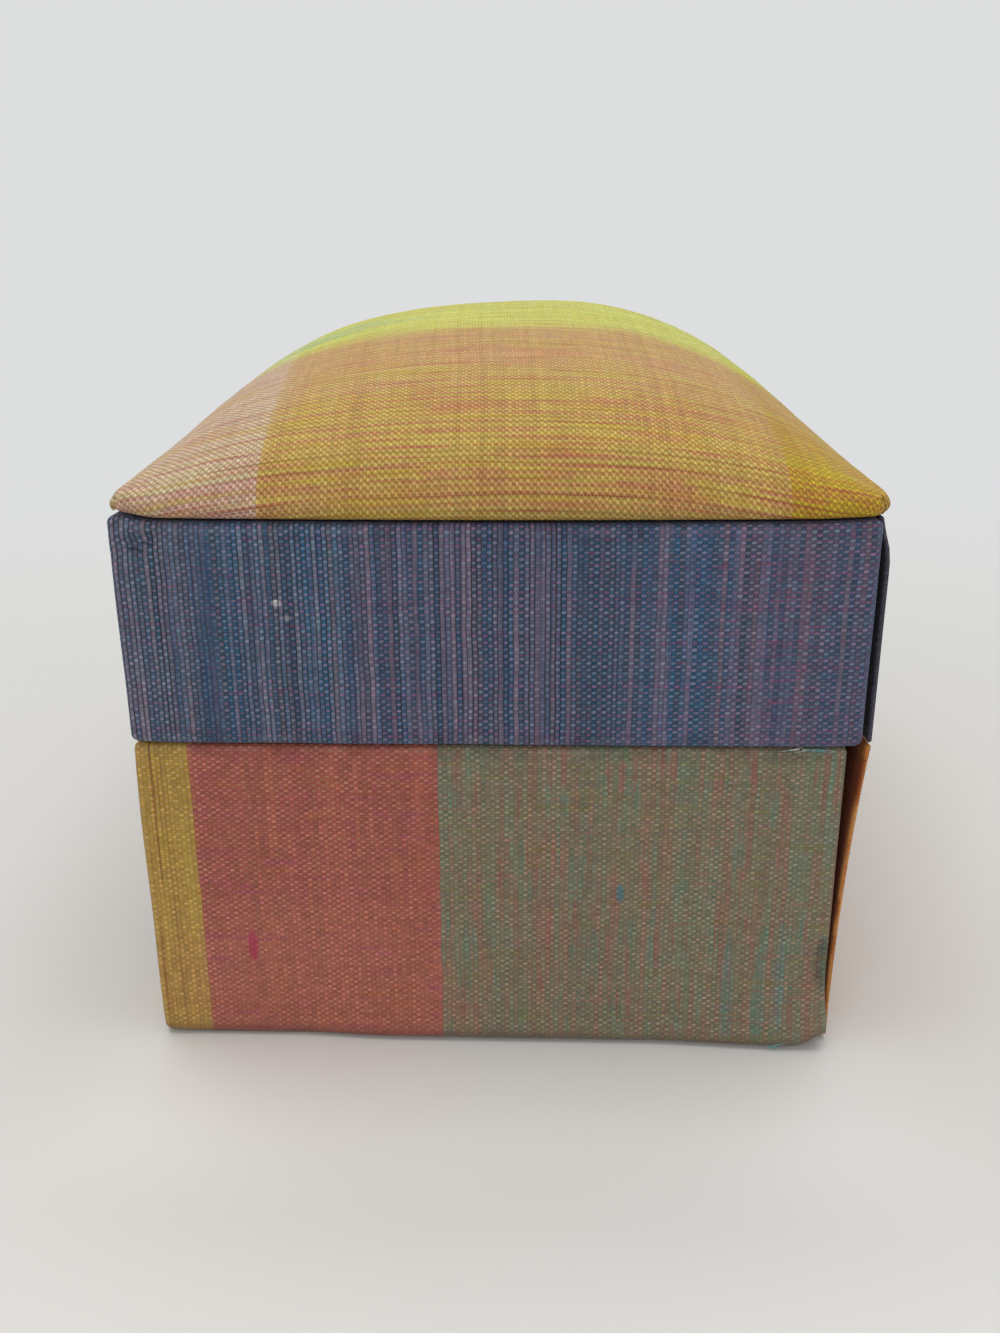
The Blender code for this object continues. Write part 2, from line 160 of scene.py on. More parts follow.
def noise(place, scale, detail, output="Fac", dimensions="3D", **more):
    sockets = {"Vector": place, "Scale": scale, "Detail": detail, **more}
    return addNode(treeOf(place), "TexNoise", output, sockets, noise_dimensions=dimensions)


def newGroup(name, inputs, outputs):
    # an input without a value is a vector. The other inputs, and the outputs, are numbers.
    group = bpy.data.node_groups.new(name, "ShaderNodeTree")
    for label, value in inputs.items():
        kind = "NodeSocketVector" if value is None else "NodeSocketFloat"
        socket = group.interface.new_socket(name=label, in_out="INPUT", socket_type=kind)
        if value is not None:
            socket.default_value = value
    for label in outputs:
        group.interface.new_socket(name=label, in_out="OUTPUT", socket_type="NodeSocketFloat")
    given = group.nodes.new("NodeGroupInput").outputs
    return group, {label: Wire(given[label]) for label in inputs}, group.nodes.new("NodeGroupOutput").inputs


def useGroup(group, sockets):
    made = addNode(treeOf(*sockets.values()), "Group", 0, sockets, node_tree=group).socket.node
    return {output.name: Wire(output) for output in made.outputs}


def plainWeave():
    # Thread i runs along v and thread j along u. At a crossing the sign (-1)^(i+j) says which is on top:
    # warp height = sign sin(pi fy) + round section, weft height = -sign sin(pi fx) + round section.
    # Bias lets the warp hide more of the weft, and Cover lets some warp threads do so more than others.
    # Slant turns each bump a little: fx + slant (fy - 0.5) and fy - slant (fx - 0.5).
    # Pair Gap is the slit between every second pair of weft threads.
    group, given, out = newGroup("plain weave", {
        "Cloth": None, "Warps": 1800, "Wefts": 3000, "Streak": 0.03, "Waver": 0.5, "Cover": 0, "Bias": 0,
        "Slant": 0}, [
        "Warp Over", "Height", "Warp Place", "Weft Place", "Warp Chance", "Weft Chance", "Warp Streak",
        "Weft Streak", "Warp Gap", "Pair Gap", "Cross Chance"])
    u, v, _ = axes(given["Cloth"])
    leanU, leanV, _ = axes(noise(given["Cloth"], 160, 2, "Color"))
    x = (leanU - 0.5) * given["Waver"] + u * given["Warps"]
    y = (leanV - 0.5) * given["Waver"] + v * given["Wefts"]
    i, j = maths("FLOOR", x), maths("FLOOR", y)
    fx, fy = x - i, y - j
    for name, thread, count, along, shift in (
            ("Warp", i, given["Warps"], v, 0), ("Weft", j, given["Wefts"], u, 57.3)):
        feed(out[name + " Place"], (thread + 0.5) / count)
        chance = addNode(group, "TexWhiteNoise", "Value", {"W": thread + shift}, noise_dimensions="1D")
        feed(out[name + " Chance"], chance)
        streak = noise(vectorOf(thread * 3.71 + shift, along / given["Streak"], 0), 1, 1, dimensions="2D")
        feed(out[name + " Streak"], fade(streak, 0.25, 0.75))
        if name == "Warp":
            cover = (maths("FRACT", chance * 13.7) - 0.5) * given["Cover"] + given["Bias"]
    sign = maths("FLOORED_MODULO", i + j, 2) * -2 + 1
    turnedX = (fy - 0.5) * given["Slant"] + fx
    turnedY = fy - (fx - 0.5) * given["Slant"]
    heights = []
    for across, along, side in ((turnedX, turnedY, 1), (turnedY, turnedX, -1)):
        wave = maths("SINE", along * math.pi) * sign
        middle = maths("MINIMUM", maths("ABSOLUTE", across * 2 - 1), 1)
        heights.append(wave * (0.5 * side) + (maths("POWER", middle, 2.4) * -0.75 + 0.75))
    heights[0] = heights[0] + cover
    feed(out["Warp Over"], fade(heights[0] - heights[1], -0.15, 0.15))
    feed(out["Height"], maths("MAXIMUM", *heights) * 0.8)
    feed(out["Warp Gap"], maths("POWER", maths("ABSOLUTE", fx * 2 - 1), 3))
    toward = maths("FLOORED_MODULO", j, 2) * (fy * -2 + 1) + fy
    own = addNode(group, "TexWhiteNoise", "Value", {"W": maths("FLOOR", j * 0.5)}, noise_dimensions="1D")
    slit = maths("POWER", toward, 4) * (own * 0.8 + 0.4)
    feed(out["Pair Gap"], slit * maths("SINE", fx * math.pi))
    cross = addNode(group, "TexWhiteNoise", "Value", {"Vector": vectorOf(i, j, 0)}, noise_dimensions="2D")
    feed(out["Cross Chance"], cross)
    return group


def clothSpot():
    # a soft-edged patch: 1 inside an ellipse of that centre and reach, 0 outside
    group, given, out = newGroup("cloth spot", {"Cloth": None, "Centre": None, "Reach": None}, ["Mask"])
    away = vectorMaths("SUBTRACT", given["Cloth"], given["Centre"])
    far = vectorMaths("LENGTH", vectorMaths("DIVIDE", away, given["Reach"]))
    feed(out["Mask"], 1 - fade(far, 0.55, 1.1))
    return group


def clothCloud():
    # noise stretched to a reach in u and v, cut to the part between Low and High and to a strip of u
    group, given, out = newGroup("cloth cloud", {
        "Cloth": None, "Reach": None, "Seed": 0, "Low": 0.5, "High": 0.7, "From": -1, "To": 1}, ["Mask"])
    across, up, _ = axes(vectorMaths("DIVIDE", given["Cloth"], given["Reach"]))
    cloud = noise(vectorOf(across, up, given["Seed"]), 1, 2.5, Roughness=0.6)
    u = axes(given["Cloth"])[0]
    soft = 0.5 * mm
    inside = fade(u - given["From"], -soft, soft) * fade(given["To"] - u, -soft, soft)
    feed(out["Mask"], fade(cloud, given["Low"], given["High"]) * inside)
    return group


def foldWear():
    # a fold at v = Fold is paler in broken stretches, from wear and on the brown panel also a painted
    # highlight, and darker just beside it
    group, given, out = newGroup("fold wear", {"Cloth": None, "Fold": 0, "Reach": 0.001}, ["Rubbed", "Grimy"])
    far = maths("ABSOLUTE", axes(given["Cloth"])[1] - given["Fold"]) / given["Reach"]
    patch = noise(given["Cloth"], 210, 4)
    feed(out["Rubbed"], (1 - fade(far, 0.2, 1)) * fade(patch, 0.4, 0.62))
    feed(out["Grimy"], (1 - fade(far, 0.8, 3.2)) * fade(patch, 0.6, 0.35))
    return group


weaveGroup, spotGroup, cloudGroup, wearGroup = plainWeave(), clothSpot(), clothCloud(), foldWear()


def newMaterial(name, plain):
    # plain values go on the shader's own sockets
    material = bpy.data.materials.new(name)
    material.use_nodes = True
    sockets = material.node_tree.nodes["Principled BSDF"].inputs
    for label, value in plain.items():
        sockets[label].default_value = value
    return material, sockets, material.node_tree


def dress(sockets, colour, rough, height, strength, depth):
    # a colour, a roughness and a bump of that strength and depth in millimetres
    feed(sockets["Base Color"], colour)
    feed(sockets["Roughness"], rough)
    bump = {"Height": height, "Strength": strength, "Distance": depth * mm}
    feed(sockets["Normal"], addNode(treeOf(height), "Bump", "Normal", bump))


def threadColour(weave, name, look):
    # main bands, then dyed streaks that come and go along the threads, then each thread's own shade
    start, period, soft, uneven = look["bands"][0][0] * mm, look["period"] * mm, look["soft"], look["uneven"]
    chance, streak = weave[name + " Chance"], weave[name + " Streak"]
    share = maths("FRACT", (weave[name + " Place"] - start) / period)

    def banded(column):
        return colourRamp(share, [((band[0] * mm - start) / period, dye(*band[column]))
                                  for band in look["bands"] if len(band) > column])

    colour = banded(1)
    # chance and streak together pick the stretches that took the second dye
    mixed = maths("FRACT", streak * look["drift"] + chance)
    for column, (low, high, strength) in enumerate(look["streaks"], 2):
        inside = fade(mixed, low - soft, low + soft) * (1 - fade(mixed, high - soft, high + soft))
        colour = blendColours(inside * strength, colour, banded(column))
    shade = maths("FRACT", chance * 7.3) * uneven + streak * (uneven / 2) + (1 - 0.75 * uneven)
    return darken(colour, shade)


def silkMaterial(name, look):
    # woven threads of two looks, then spots, clouds, dashes, painted shade in the hollows and slits, folds
    # paler and darker, and painted shade at the foot
    material, sockets, tree = newMaterial(name, {
        "Specular IOR Level": look["gloss"], "Sheen Weight": look["sheen"], "Sheen Roughness": 0.4,
        "Sheen Tint": dye(*look["sheenTint"])})
    cloth = addNode(tree, "UVMap", "UV", uv_map="cloth")
    u, v, _ = axes(cloth)
    weave = useGroup(weaveGroup, {
        "Cloth": cloth, "Warps": 1 / (look["warpPitch"] * mm), "Wefts": 1 / (look["weftPitch"] * mm),
        "Streak": look["streak"] * mm, "Waver": look["waver"], "Cover": look["cover"], "Bias": look["bias"],
        "Slant": look["slant"]})
    over, crossing, under = weave["Warp Over"], weave["Cross Chance"], 1 - weave["Warp Over"]
    warp = threadColour(weave, "Warp", look["warp"])
    weft = threadColour(weave, "Weft", look["weft"])
    # each thread takes on some of the dye of the one it crosses
    stained = blendColours(look["bleed"], weft, warp)
    colour = blendColours(over, stained, blendColours(look["soak"], warp, weft))
    for centre, reach, tint, strength in look["spots"]:
        spot = useGroup(spotGroup, {
            "Cloth": cloth, "Centre": [c * mm for c in centre] + [0], "Reach": [r * mm for r in reach] + [1]})
        colour = blendColours(spot["Mask"] * strength, colour, dye(*tint))
    for number, (reach, part, tint, cut, strength) in enumerate(look["clouds"]):
        cloud = useGroup(cloudGroup, {
            "Cloth": cloth, "Reach": [r * mm for r in reach] + [1], "Seed": 7.7 * number, "Low": cut[0],
            "High": cut[1], "From": part[0] * mm, "To": part[1] * mm})
        colour = blendColours(cloud["Mask"] * strength, colour, dye(*tint))
    # where the weft is on top the cloth can show a darker, redder dash
    dash = under * (crossing * (0.5 * look["dash"]) + 0.75 * look["dash"])
    colour = blendColours(dash, colour, dye(*look["dashDye"]), "MULTIPLY")
    # painted shade: the hollows between threads are darker; the weft's dots stand out lighter, some more than
    # others, as a painted highlight with a random tone
    spread, grain, hollow = look["dotSpread"], look["grain"], look["hollow"]
    depth = fade(weave["Height"], -0.1, 0.75) * hollow + (1 - hollow)
    own = maths("FRACT", weave["Warp Chance"] * 5.3) * spread + (1 - spread / 2)
    uneven = own * (crossing * spread + (1 - spread / 2))
    dots = crossing * grain + ((under * uneven - 0.4) * look["dots"] + (1 - grain / 2))
    # painted shade darkens the slits between the warp threads, and the slits close up from one place along u
    # to another
    near, away, closed = look["calm"]
    ribs = weave["Warp Gap"] * own * (fade(u, near * mm, away * mm) * -closed + 1)
    colour = darken(colour, depth * dots * (ribs * -look["rib"] + 1))
    # painted shade in the slit between every second pair of weft threads
    slit = weave["Pair Gap"] * weave["Weft Streak"] * look["slit"]
    colour = blendColours(slit, colour, dye(*look["slitDye"]))
    for fold in look["folds"]:
        wear = useGroup(wearGroup, {"Cloth": cloth, "Fold": fold * mm, "Reach": look["foldReach"] * mm})
        colour = blendColours(wear["Rubbed"] * look["rubbed"], colour, dye(*look["bare"]))
        colour = darken(colour, wear["Grimy"] * -look["grime"] + 1)
    # painted shade: towards the table the cloth is darkened, and its weave blends into a darker stained
    # colour
    low = fade(v, 3.2 * mm, 0) * look["foot"]
    colour = darken(blendColours(low, colour, darken(stained, 0.9)), 1 - low * low)
    rough = weave["Warp Streak"] * 0.12 + look["roughness"]
    dress(sockets, colour, rough, weave["Height"], look["relief"], look["threadDepth"])
    return material


# Looks of the silks, with lengths in millimetres. A band of threads is the place where it starts, its dye and
# the dye of each sort of streak in it. A sort of streak is its lowest and highest chance and its strength.
# A spot is its centre, reach, colour and strength, a cloud its reach, part of the cloth, colour, cut and
# strength.

silkBasis = dict(
    streak=26, waver=0.6, cover=0, bias=0, bleed=0.35, hollow=0.55, dots=0.3, dotSpread=0.8, rib=0.3,
    slit=0, slitDye=(96, 44, 26), grain=0.16, dash=0, dashDye=(214, 178, 160), slant=0.15, soak=0,
    calm=(0, 1, 0), foot=0, roughness=0.52, relief=0.5, threadDepth=0.12, gloss=0.3, sheen=0.08,
    sheenTint=(255, 245, 230), foldReach=0.5, rubbed=0.12, grime=0.18, bare=(190, 172, 146), spots=(),
    clouds=(), folds=())
anywhere, leftHalf = (-900, 900), (-60, 0)
coral, green = (-39.3, -7.9), (-7.9, 44)

# base: gold with red-brown threads, coral and grey-green bands across the photographed end
plaidLook = {**silkBasis, **dict(
    warpPitch=0.59, weftPitch=0.39, cover=0.3, bias=0.3, bleed=0.68, dots=0.25, rib=0.2, hollow=0.4,
    # foot is painted shade along the bottom edge, by the table
    grain=0.28, foot=0.7, folds=(0.9, 42),
    warp=dict(
        period=160, drift=0.5, uneven=0.1, soft=0.08, streaks=[(0.66, 0.92, 0.7), (0.1, 0.3, 0.6)],
        bands=[
            (-62, (176, 143, 58), (178, 142, 54), (184, 158, 56)),
            (-39.3, (158, 82, 68), (166, 82, 76), (174, 94, 72)),
            (-7.9, (117, 116, 92), (134, 104, 88), (106, 120, 102)),
            (44, (168, 104, 52), (120, 50, 40), (186, 140, 64)),
            (72, (92, 98, 110), (150, 90, 110), (60, 84, 120))]),
    weft=dict(period=200, drift=0.5, uneven=0.3, soft=0.08, streaks=[(0.72, 0.94, 0.7), (0.12, 0.35, 0.6)],
              bands=[(-60, (172, 138, 126), (166, 104, 110), (168, 146, 96))]),
    clouds=[
        # red-brown lines in the gold near the corner
        ((0.35, 60), (-45.9, -42.8), (126, 56, 34), (0.5, 0.6), 0.75),
        ((0.3, 50), (-42.8, -39.5), (132, 96, 40), (0.52, 0.66), 0.4),
        # magenta and orange patches along the coral's weft
        ((7, 1.3), coral, (158, 70, 100), (0.56, 0.72), 0.42),
        ((9, 2), coral, (176, 100, 60), (0.56, 0.74), 0.4),
        # pink, teal and olive strokes in the grey green
        ((2, 16), green, (96, 140, 118), (0.5, 0.75), 0.4),
        ((1.8, 14), green, (150, 96, 86), (0.52, 0.75), 0.35),
        ((0.9, 11), green, (156, 84, 82), (0.54, 0.7), 0.5),
        ((1.2, 10), green, (84, 132, 114), (0.54, 0.72), 0.5),
        ((4, 0.5), green, (152, 96, 92), (0.55, 0.7), 0.4),
        ((6, 1), green, (122, 118, 62), (0.52, 0.7), 0.4)],
    spots=[
        ((-24, 8), (24, 15), (180, 112, 90), 0.36), ((-32.6, 14), (0.8, 2.6), (172, 34, 84), 0.7),
        ((15.4, 22.4), (0.6, 1.5), (40, 124, 140), 0.7), ((-4.6, 11), (1, 7), (72, 128, 112), 0.4),
        ((29.8, 8), (1, 9), (62, 128, 124), 0.45), ((33.8, 6.5), (1.1, 8.5), (70, 132, 118), 0.45),
        ((36.6, 9), (0.7, 7), (66, 128, 132), 0.4), ((42, 12.6), (1.3, 4.4), (44, 56, 50), 0.6)],
)}

# lid rim: slate blue, teal and mauve threads
rimLook = {**silkBasis, **dict(
    warpPitch=0.62, weftPitch=0.42, streak=60, cover=0.6, bias=0.4, bleed=0.5, rib=0.85, dots=0.25,
    dotSpread=0.9, hollow=0.3, grain=0.34, calm=(6, 26, 0.6), sheenTint=(225, 220, 244), folds=(43.9, 70.4),
    bare=(140, 137, 149),
    warp=dict(
        period=240, drift=0.3, uneven=0.5, soft=0.04, streaks=[(0.08, 0.34, 0.9), (0.68, 0.94, 0.8)],
        bands=[
            (-60, (76, 94, 118), (48, 82, 113), (108, 104, 120)),
            (-34, (58, 90, 119), (30, 82, 117), (92, 102, 120)),
            (-18, (78, 88, 114), (44, 78, 113), (116, 102, 122)),
            (6, (58, 82, 111), (30, 76, 110), (104, 93, 115)),
            (26, (75, 81, 107), (52, 72, 101), (106, 93, 111)),
            (44, (66, 76, 99), (46, 74, 103), (88, 88, 107))]),
    weft=dict(period=300, drift=0.5, uneven=0.3, soft=0.05, streaks=[(0.76, 0.94, 0.8), (0.12, 0.36, 0.6)],
              bands=[(-60, (134, 123, 139), (144, 78, 122), (100, 133, 145))]),
    clouds=[
        ((0.5, 45), anywhere, (34, 78, 118), (0.56, 0.66), 0.6),
        ((0.45, 40), anywhere, (110, 90, 117), (0.58, 0.68), 0.5),
        ((2.4, 60), anywhere, (42, 76, 111), (0.52, 0.72), 0.5),
        ((1.2, 70), leftHalf, (132, 124, 146), (0.54, 0.68), 0.4),
        ((1.5, 70), leftHalf, (44, 56, 88), (0.54, 0.68), 0.4),
        ((2.8, 0.22), anywhere, (140, 55, 96), (0.6, 0.72), 0.6),
        ((6, 0.3), (30, 44), (150, 60, 96), (0.56, 0.7), 0.5),
        ((2.6, 0.25), anywhere, (44, 104, 111), (0.6, 0.72), 0.6)],
    spots=[
        ((-26.2, 61.3), (0.75, 0.5), (196, 196, 197), 0.8), ((-25, 59.4), (0.5, 0.4), (190, 190, 191), 0.7),
        # painted shade: the two thin dark marks on the next line lie along the crease near the left corner
        ((-42.6, 67.6), (1.3, 0.3), (34, 41, 55), 0.7), ((-41, 68.5), (1.2, 0.25), (38, 45, 59), 0.6)],
)}

# padded top: pink and gold warp bands, gold weft with pink and red streaks, a lime band over the crest
lidLook = {**silkBasis, **dict(
    warpPitch=0.41, weftPitch=0.48, streak=16, bias=0.3, bleed=0.4, soak=0.42, slant=-0.4, dots=-0.1,
    slit=1.5, slitDye=(126, 50, 26), rib=0.2, hollow=0.2, dash=0.66, dashDye=(206, 170, 138), grain=0.26,
    warp=dict(
        period=130, drift=0.4, uneven=0.26, soft=0.06, streaks=[(0.66, 0.92, 0.45), (0.1, 0.32, 0.3)],
        bands=[
            (-60, (211, 199, 186), (210, 182, 176), (218, 210, 194)),
            (-28.4, (196, 172, 106), (201, 158, 114), (212, 194, 136)),
            (33, (188, 168, 26), (190, 152, 38), (200, 178, 44))]),
    weft=dict(
        period=180, drift=0.5, uneven=0.2, soft=0.04, streaks=[(0.66, 0.94, 0.85), (0.06, 0.34, 0.8)],
        bands=[
            (-90, (150, 130, 22), (156, 98, 40), (168, 154, 30)), (-72.6, (172, 98, 54)),
            (-71.4, (180, 138, 40), (180, 92, 66), (190, 175, 44)), (-70.9, (176, 78, 62)),
            (-69.8, (179, 155, 38)), (-68.3, (174, 94, 66)), (-67.7, (181, 159, 42)), (-61.4, (180, 110, 68)),
            (-60.6, (183, 159, 46)), (-52.5, (188, 136, 90)), (-49.5, (187, 171, 54)),
            (-45.5, (194, 134, 98)), (-38, (190, 163, 66)), (-34.5, (198, 142, 112)), (-31.2, (198, 158, 98)),
            (-29.8, (200, 178, 88)), (-28.6, (200, 198, 80)),
            (-27.4, (202, 218, 70), (186, 232, 74), (216, 244, 60)), (-26.2, (200, 242, 62)),
            (6, (104, 196, 150), (150, 200, 160), (190, 214, 110)),
            (16, (200, 146, 110), (198, 120, 96), (196, 172, 78)), (26, (194, 158, 70)), (60, (172, 88, 66)),
            (62, (182, 144, 54))]),
    clouds=[
        ((14, 0.55), anywhere, (178, 84, 70), (0.54, 0.66), 0.5),
        ((16, 0.5), (-60, -28.4), (140, 70, 66), (0.55, 0.66), 0.4),
        ((18, 1.2), anywhere, (188, 164, 40), (0.52, 0.7), 0.5),
        ((0.35, 22), anywhere, (214, 192, 140), (0.58, 0.7), 0.1)],
    spots=[
        # painted sheen: the two pale veils on the next line, one across the front of the top and one over the
        # pink band
        ((0, -38), (80, 16), (206, 180, 130), 0.22), ((-36, -46), (12, 26), (216, 206, 186), 0.26),
        ((4, -10.8), (70, 18), (212, 228, 116), 0.5), ((-23, -12.4), (10, 1.5), (140, 205, 160), 0.6),
        ((-19, -15.6), (12, 1.3), (150, 205, 150), 0.6), ((-26, -18.4), (8, 1.8), (140, 200, 160), 0.6),
        ((-21, -9), (7, 1), (160, 210, 140), 0.5)],
)}


def plainLook(warpPitch, weftPitch, warp, weft, accent, **changes):
    # a cloth of one colour, with a few threads of another shade
    def threads(main):
        return dict(period=1000, drift=0.4, uneven=0.2, soft=0.05, streaks=[(0.7, 0.9, 0.6)],
                    bands=[(0, main, accent)])
    return {**silkBasis, "warpPitch": warpPitch, "weftPitch": weftPitch, "warp": threads(warp),
            "weft": threads(weft), **changes}


# the panel on the base: paler at its front and back ends, partly from wear and partly a painted highlight,
# and painted shade over its face toward the base
brownLook = plainLook(
    0.5, 0.35, (196, 116, 50), (182, 102, 48), (210, 164, 74), folds=(-65.3, 65.3), foldReach=1.2, rubbed=0.4,
    # painted shade: the dark brown cloud covers the panel's face toward the base
    bare=(216, 164, 92), grime=0.08, clouds=[((9, 9), (42.2, 84.4), (140, 62, 30), (0, 0.05), 0.85)])

silks = {name: silkMaterial(name + " silk", look) for name, look in {
    "plaid": plaidLook, "rim": rimLook, "lid": lidLook, "brown": brownLook,
    "dark": plainLook(0.55, 0.35, (70, 66, 78), (78, 76, 88), (46, 50, 72)),
    "teal": plainLook(0.32, 0.3, (64, 142, 146), (52, 124, 134), (110, 170, 160)),
    "frame": plainLook(0.42, 0.4, (196, 160, 70), (190, 146, 62), (190, 104, 80)),
}.items()}


def velvetMaterial(colour):
    # nap lies in soft patches: lighter where it is brushed, darker where it stands
    material, sockets, tree = newMaterial("teal velvet", {
        "Specular IOR Level": 0.15, "Sheen Weight": 0.8, "Sheen Roughness": 0.35,
        "Sheen Tint": dye(130, 200, 205)})
    place = addNode(tree, "TexCoord", "Object")
    fibre = noise(place, 4200, 1)
    nap = fibre * 0.5 + noise(place, 260, 3) * 0.5
    light = [min(c * 1.9, 1) for c in colour[:3]] + [1]
    dress(sockets, blendColours(fade(nap, 0.3, 0.7), colour, light), fibre * 0.15 + 0.8, nap, 0.5, 0.3)
    return material


def satinMaterial(colour):
    # fine lengthwise ribs with painted light and shade along them, and a slightly darker selvedge of finer
    # ribs
    material, sockets, tree = newMaterial("gold satin", {"Sheen Weight": 0.3})
    u, v, _ = axes(addNode(tree, "UVMap", "UV", uv_map="cloth"))
    rib, weft = (maths("SINE", place * (2 * math.pi / pitch))
                 for place, pitch in ((u, 0.16 * mm), (v, 0.22 * mm)))
    relief = weft * 0.3 + rib
    edge = fade(maths("ABSOLUTE", u), 4 * mm, 4.6 * mm)
    dark = [c * 0.62 for c in colour[:3]] + [1]
    shade = edge * 0.6 + (relief * 0.12 + 0.15)
    dress(sockets, blendColours(shade, colour, dark), relief * 0.05 + 0.34, relief, 0.35, 0.03)
    return material


def boardMaterial():
    # grey bookbinding board: pressed fibres and small dark and light specks
    material, sockets, tree = newMaterial("grey board", {})
    place = addNode(tree, "TexCoord", "Object")
    fibre = noise(place, 900, 4, Distortion=1.2)
    speck = addNode(tree, "TexVoronoi", "Distance", {"Vector": place, "Scale": 700})
    colour = colourRamp(fibre, [(0.25, dye(150, 142, 128)), (0.75, dye(182, 174, 158))], "LINEAR")
    colour = blendColours(maths("LESS_THAN", speck, 0.16) * 0.4, colour, dye(112, 102, 88))
    dress(sockets, colour, fibre * 0.1 + 0.85, fibre, 0.3, 0.08)
    return material


def waddingMaterial():
    # loose white fibres
    material, sockets, tree = newMaterial("wadding fibres", {})
    strand = noise(addNode(tree, "TexCoord", "Object"), 650, 5, Distortion=3)
    colour = colourRamp(strand, [(0.3, dye(214, 210, 200)), (0.7, dye(246, 244, 238))], "LINEAR")
    dress(sockets, colour, strand * 0.1 + 0.88, strand, 0.8, 0.5)
    return material


def mirrorMaterial():
    # silvered glass with a faint bloom of dust
    material, sockets, tree = newMaterial("silvered glass", {"Metallic": 1})
    place = addNode(tree, "TexCoord", "Object")
    dust = fade(noise(place, 70, 5), 0.45, 0.8) * fade(noise(place, 1500, 1), 0.55, 0.75)
    feed(sockets["Base Color"], blendColours(dust, dye(236, 240, 240), dye(205, 208, 206)))
    feed(sockets["Roughness"], dust * 0.16 + 0.025)
    return material


velvet, satin, board = velvetMaterial(dye(14, 78, 84)), satinMaterial(dye(214, 176, 92)), boardMaterial()
fibres, silvered = waddingMaterial(), mirrorMaterial()
print("materials made")


# Shapes on grids

def together(*arrays):
    # one array of points from an array for each coordinate
    return np.stack(np.broadcast_arrays(*arrays), axis=-1)


def lengthAlong(line):
    # how far along its line each point lies: the sum of the steps before it
    return np.concatenate([[0], np.cumsum(np.linalg.norm(np.diff(line, axis=0), axis=1))])


def gridIndex(points, closed=(0, 0)):
    # numbers of a grid's points, with the first row or column once more at the end where the grid closes
    index = np.arange(points.shape[0] * points.shape[1]).reshape(points.shape[:2])
    return np.pad(index, ((0, closed[0]), (0, closed[1])), "wrap")


def borderIndex(index):
    # the border of a grid of points, in order round it
    return np.concatenate([index[0], index[1:-1, -1], index[-1, ::-1], index[-2:0:-1, 0]])


def quads(grid):
    # the four corners of each square between neighbouring points of a grid
    corners = np.stack([grid[:-1, :-1], grid[:-1, 1:], grid[1:, 1:], grid[1:, :-1]], axis=2)
    return corners.reshape(-1, *corners.shape[2:])


def makePiece(name, points, faces, cloth, material):
    # cloth holds the cloth coordinates of each corner of each face
    mesh = bpy.data.meshes.new(name)
    mesh.from_pydata(points.reshape(-1, 3).tolist(), [], faces.tolist())
    layer = mesh.uv_layers.new(name="cloth")
    layer.data.foreach_set("uv", np.broadcast_to(cloth, (*faces.shape, 2)).astype(np.float32).reshape(-1))
    mesh.shade_smooth()
    mesh.materials.append(material)
    piece = bpy.data.objects.new(name, mesh)
    bpy.context.scene.collection.objects.link(piece)
    return piece


def makeGrid(name, points, cloth, material, closed=(0, 0)):
    return makePiece(name, points, quads(gridIndex(points, closed)), quads(cloth), material)


def softNoise(points, size, seed):
    # mean of six sine waves through space, each about that long, with its own direction and phase
    chance = np.random.default_rng(seed)
    total = 0
    for number in range(6):
        direction = chance.normal(size=3)
        direction /= np.linalg.norm(direction)
        total = total + np.sin(points @ direction * 2 * math.pi / (size * chance.uniform(0.7, 1.4))
                               + chance.uniform(0, 2 * math.pi))
    return total / 6


def smooth(value, low, high):
    # 0 below low, 1 above high, 3 t^2 - 2 t^3 between
    share = np.clip((value - low) / (high - low), 0, 1)
    return share * share * (3 - 2 * share)


def hump(value, middle, reach):
    # bell: exp of minus the squared distance in reaches
    return np.exp(-((value - middle) / reach) ** 2)


def sineGrid(cells):
    # shares from -1 to 1 across and along, closer together towards the border
    return np.meshgrid(*(np.sin(np.linspace(-quarterTurn, quarterTurn, count + 1)) for count in cells))


def closeSeams(piece):
    # joins points that lie on each other and turns all faces outwards
    shape = bmesh.new()
    shape.from_mesh(piece.data)
    bmesh.ops.remove_doubles(shape, verts=shape.verts, dist=0.002 * mm)
    bmesh.ops.dissolve_degenerate(shape, edges=shape.edges, dist=0.001 * mm)
    bmesh.ops.recalc_face_normals(shape, faces=shape.faces)
    shape.to_mesh(piece.data)
    shape.free()


def thicken(piece, thickness, offset=-1):
    solid = piece.modifiers.new("cloth thickness", "SOLIDIFY")
    solid.thickness = thickness * mm
    solid.offset = offset


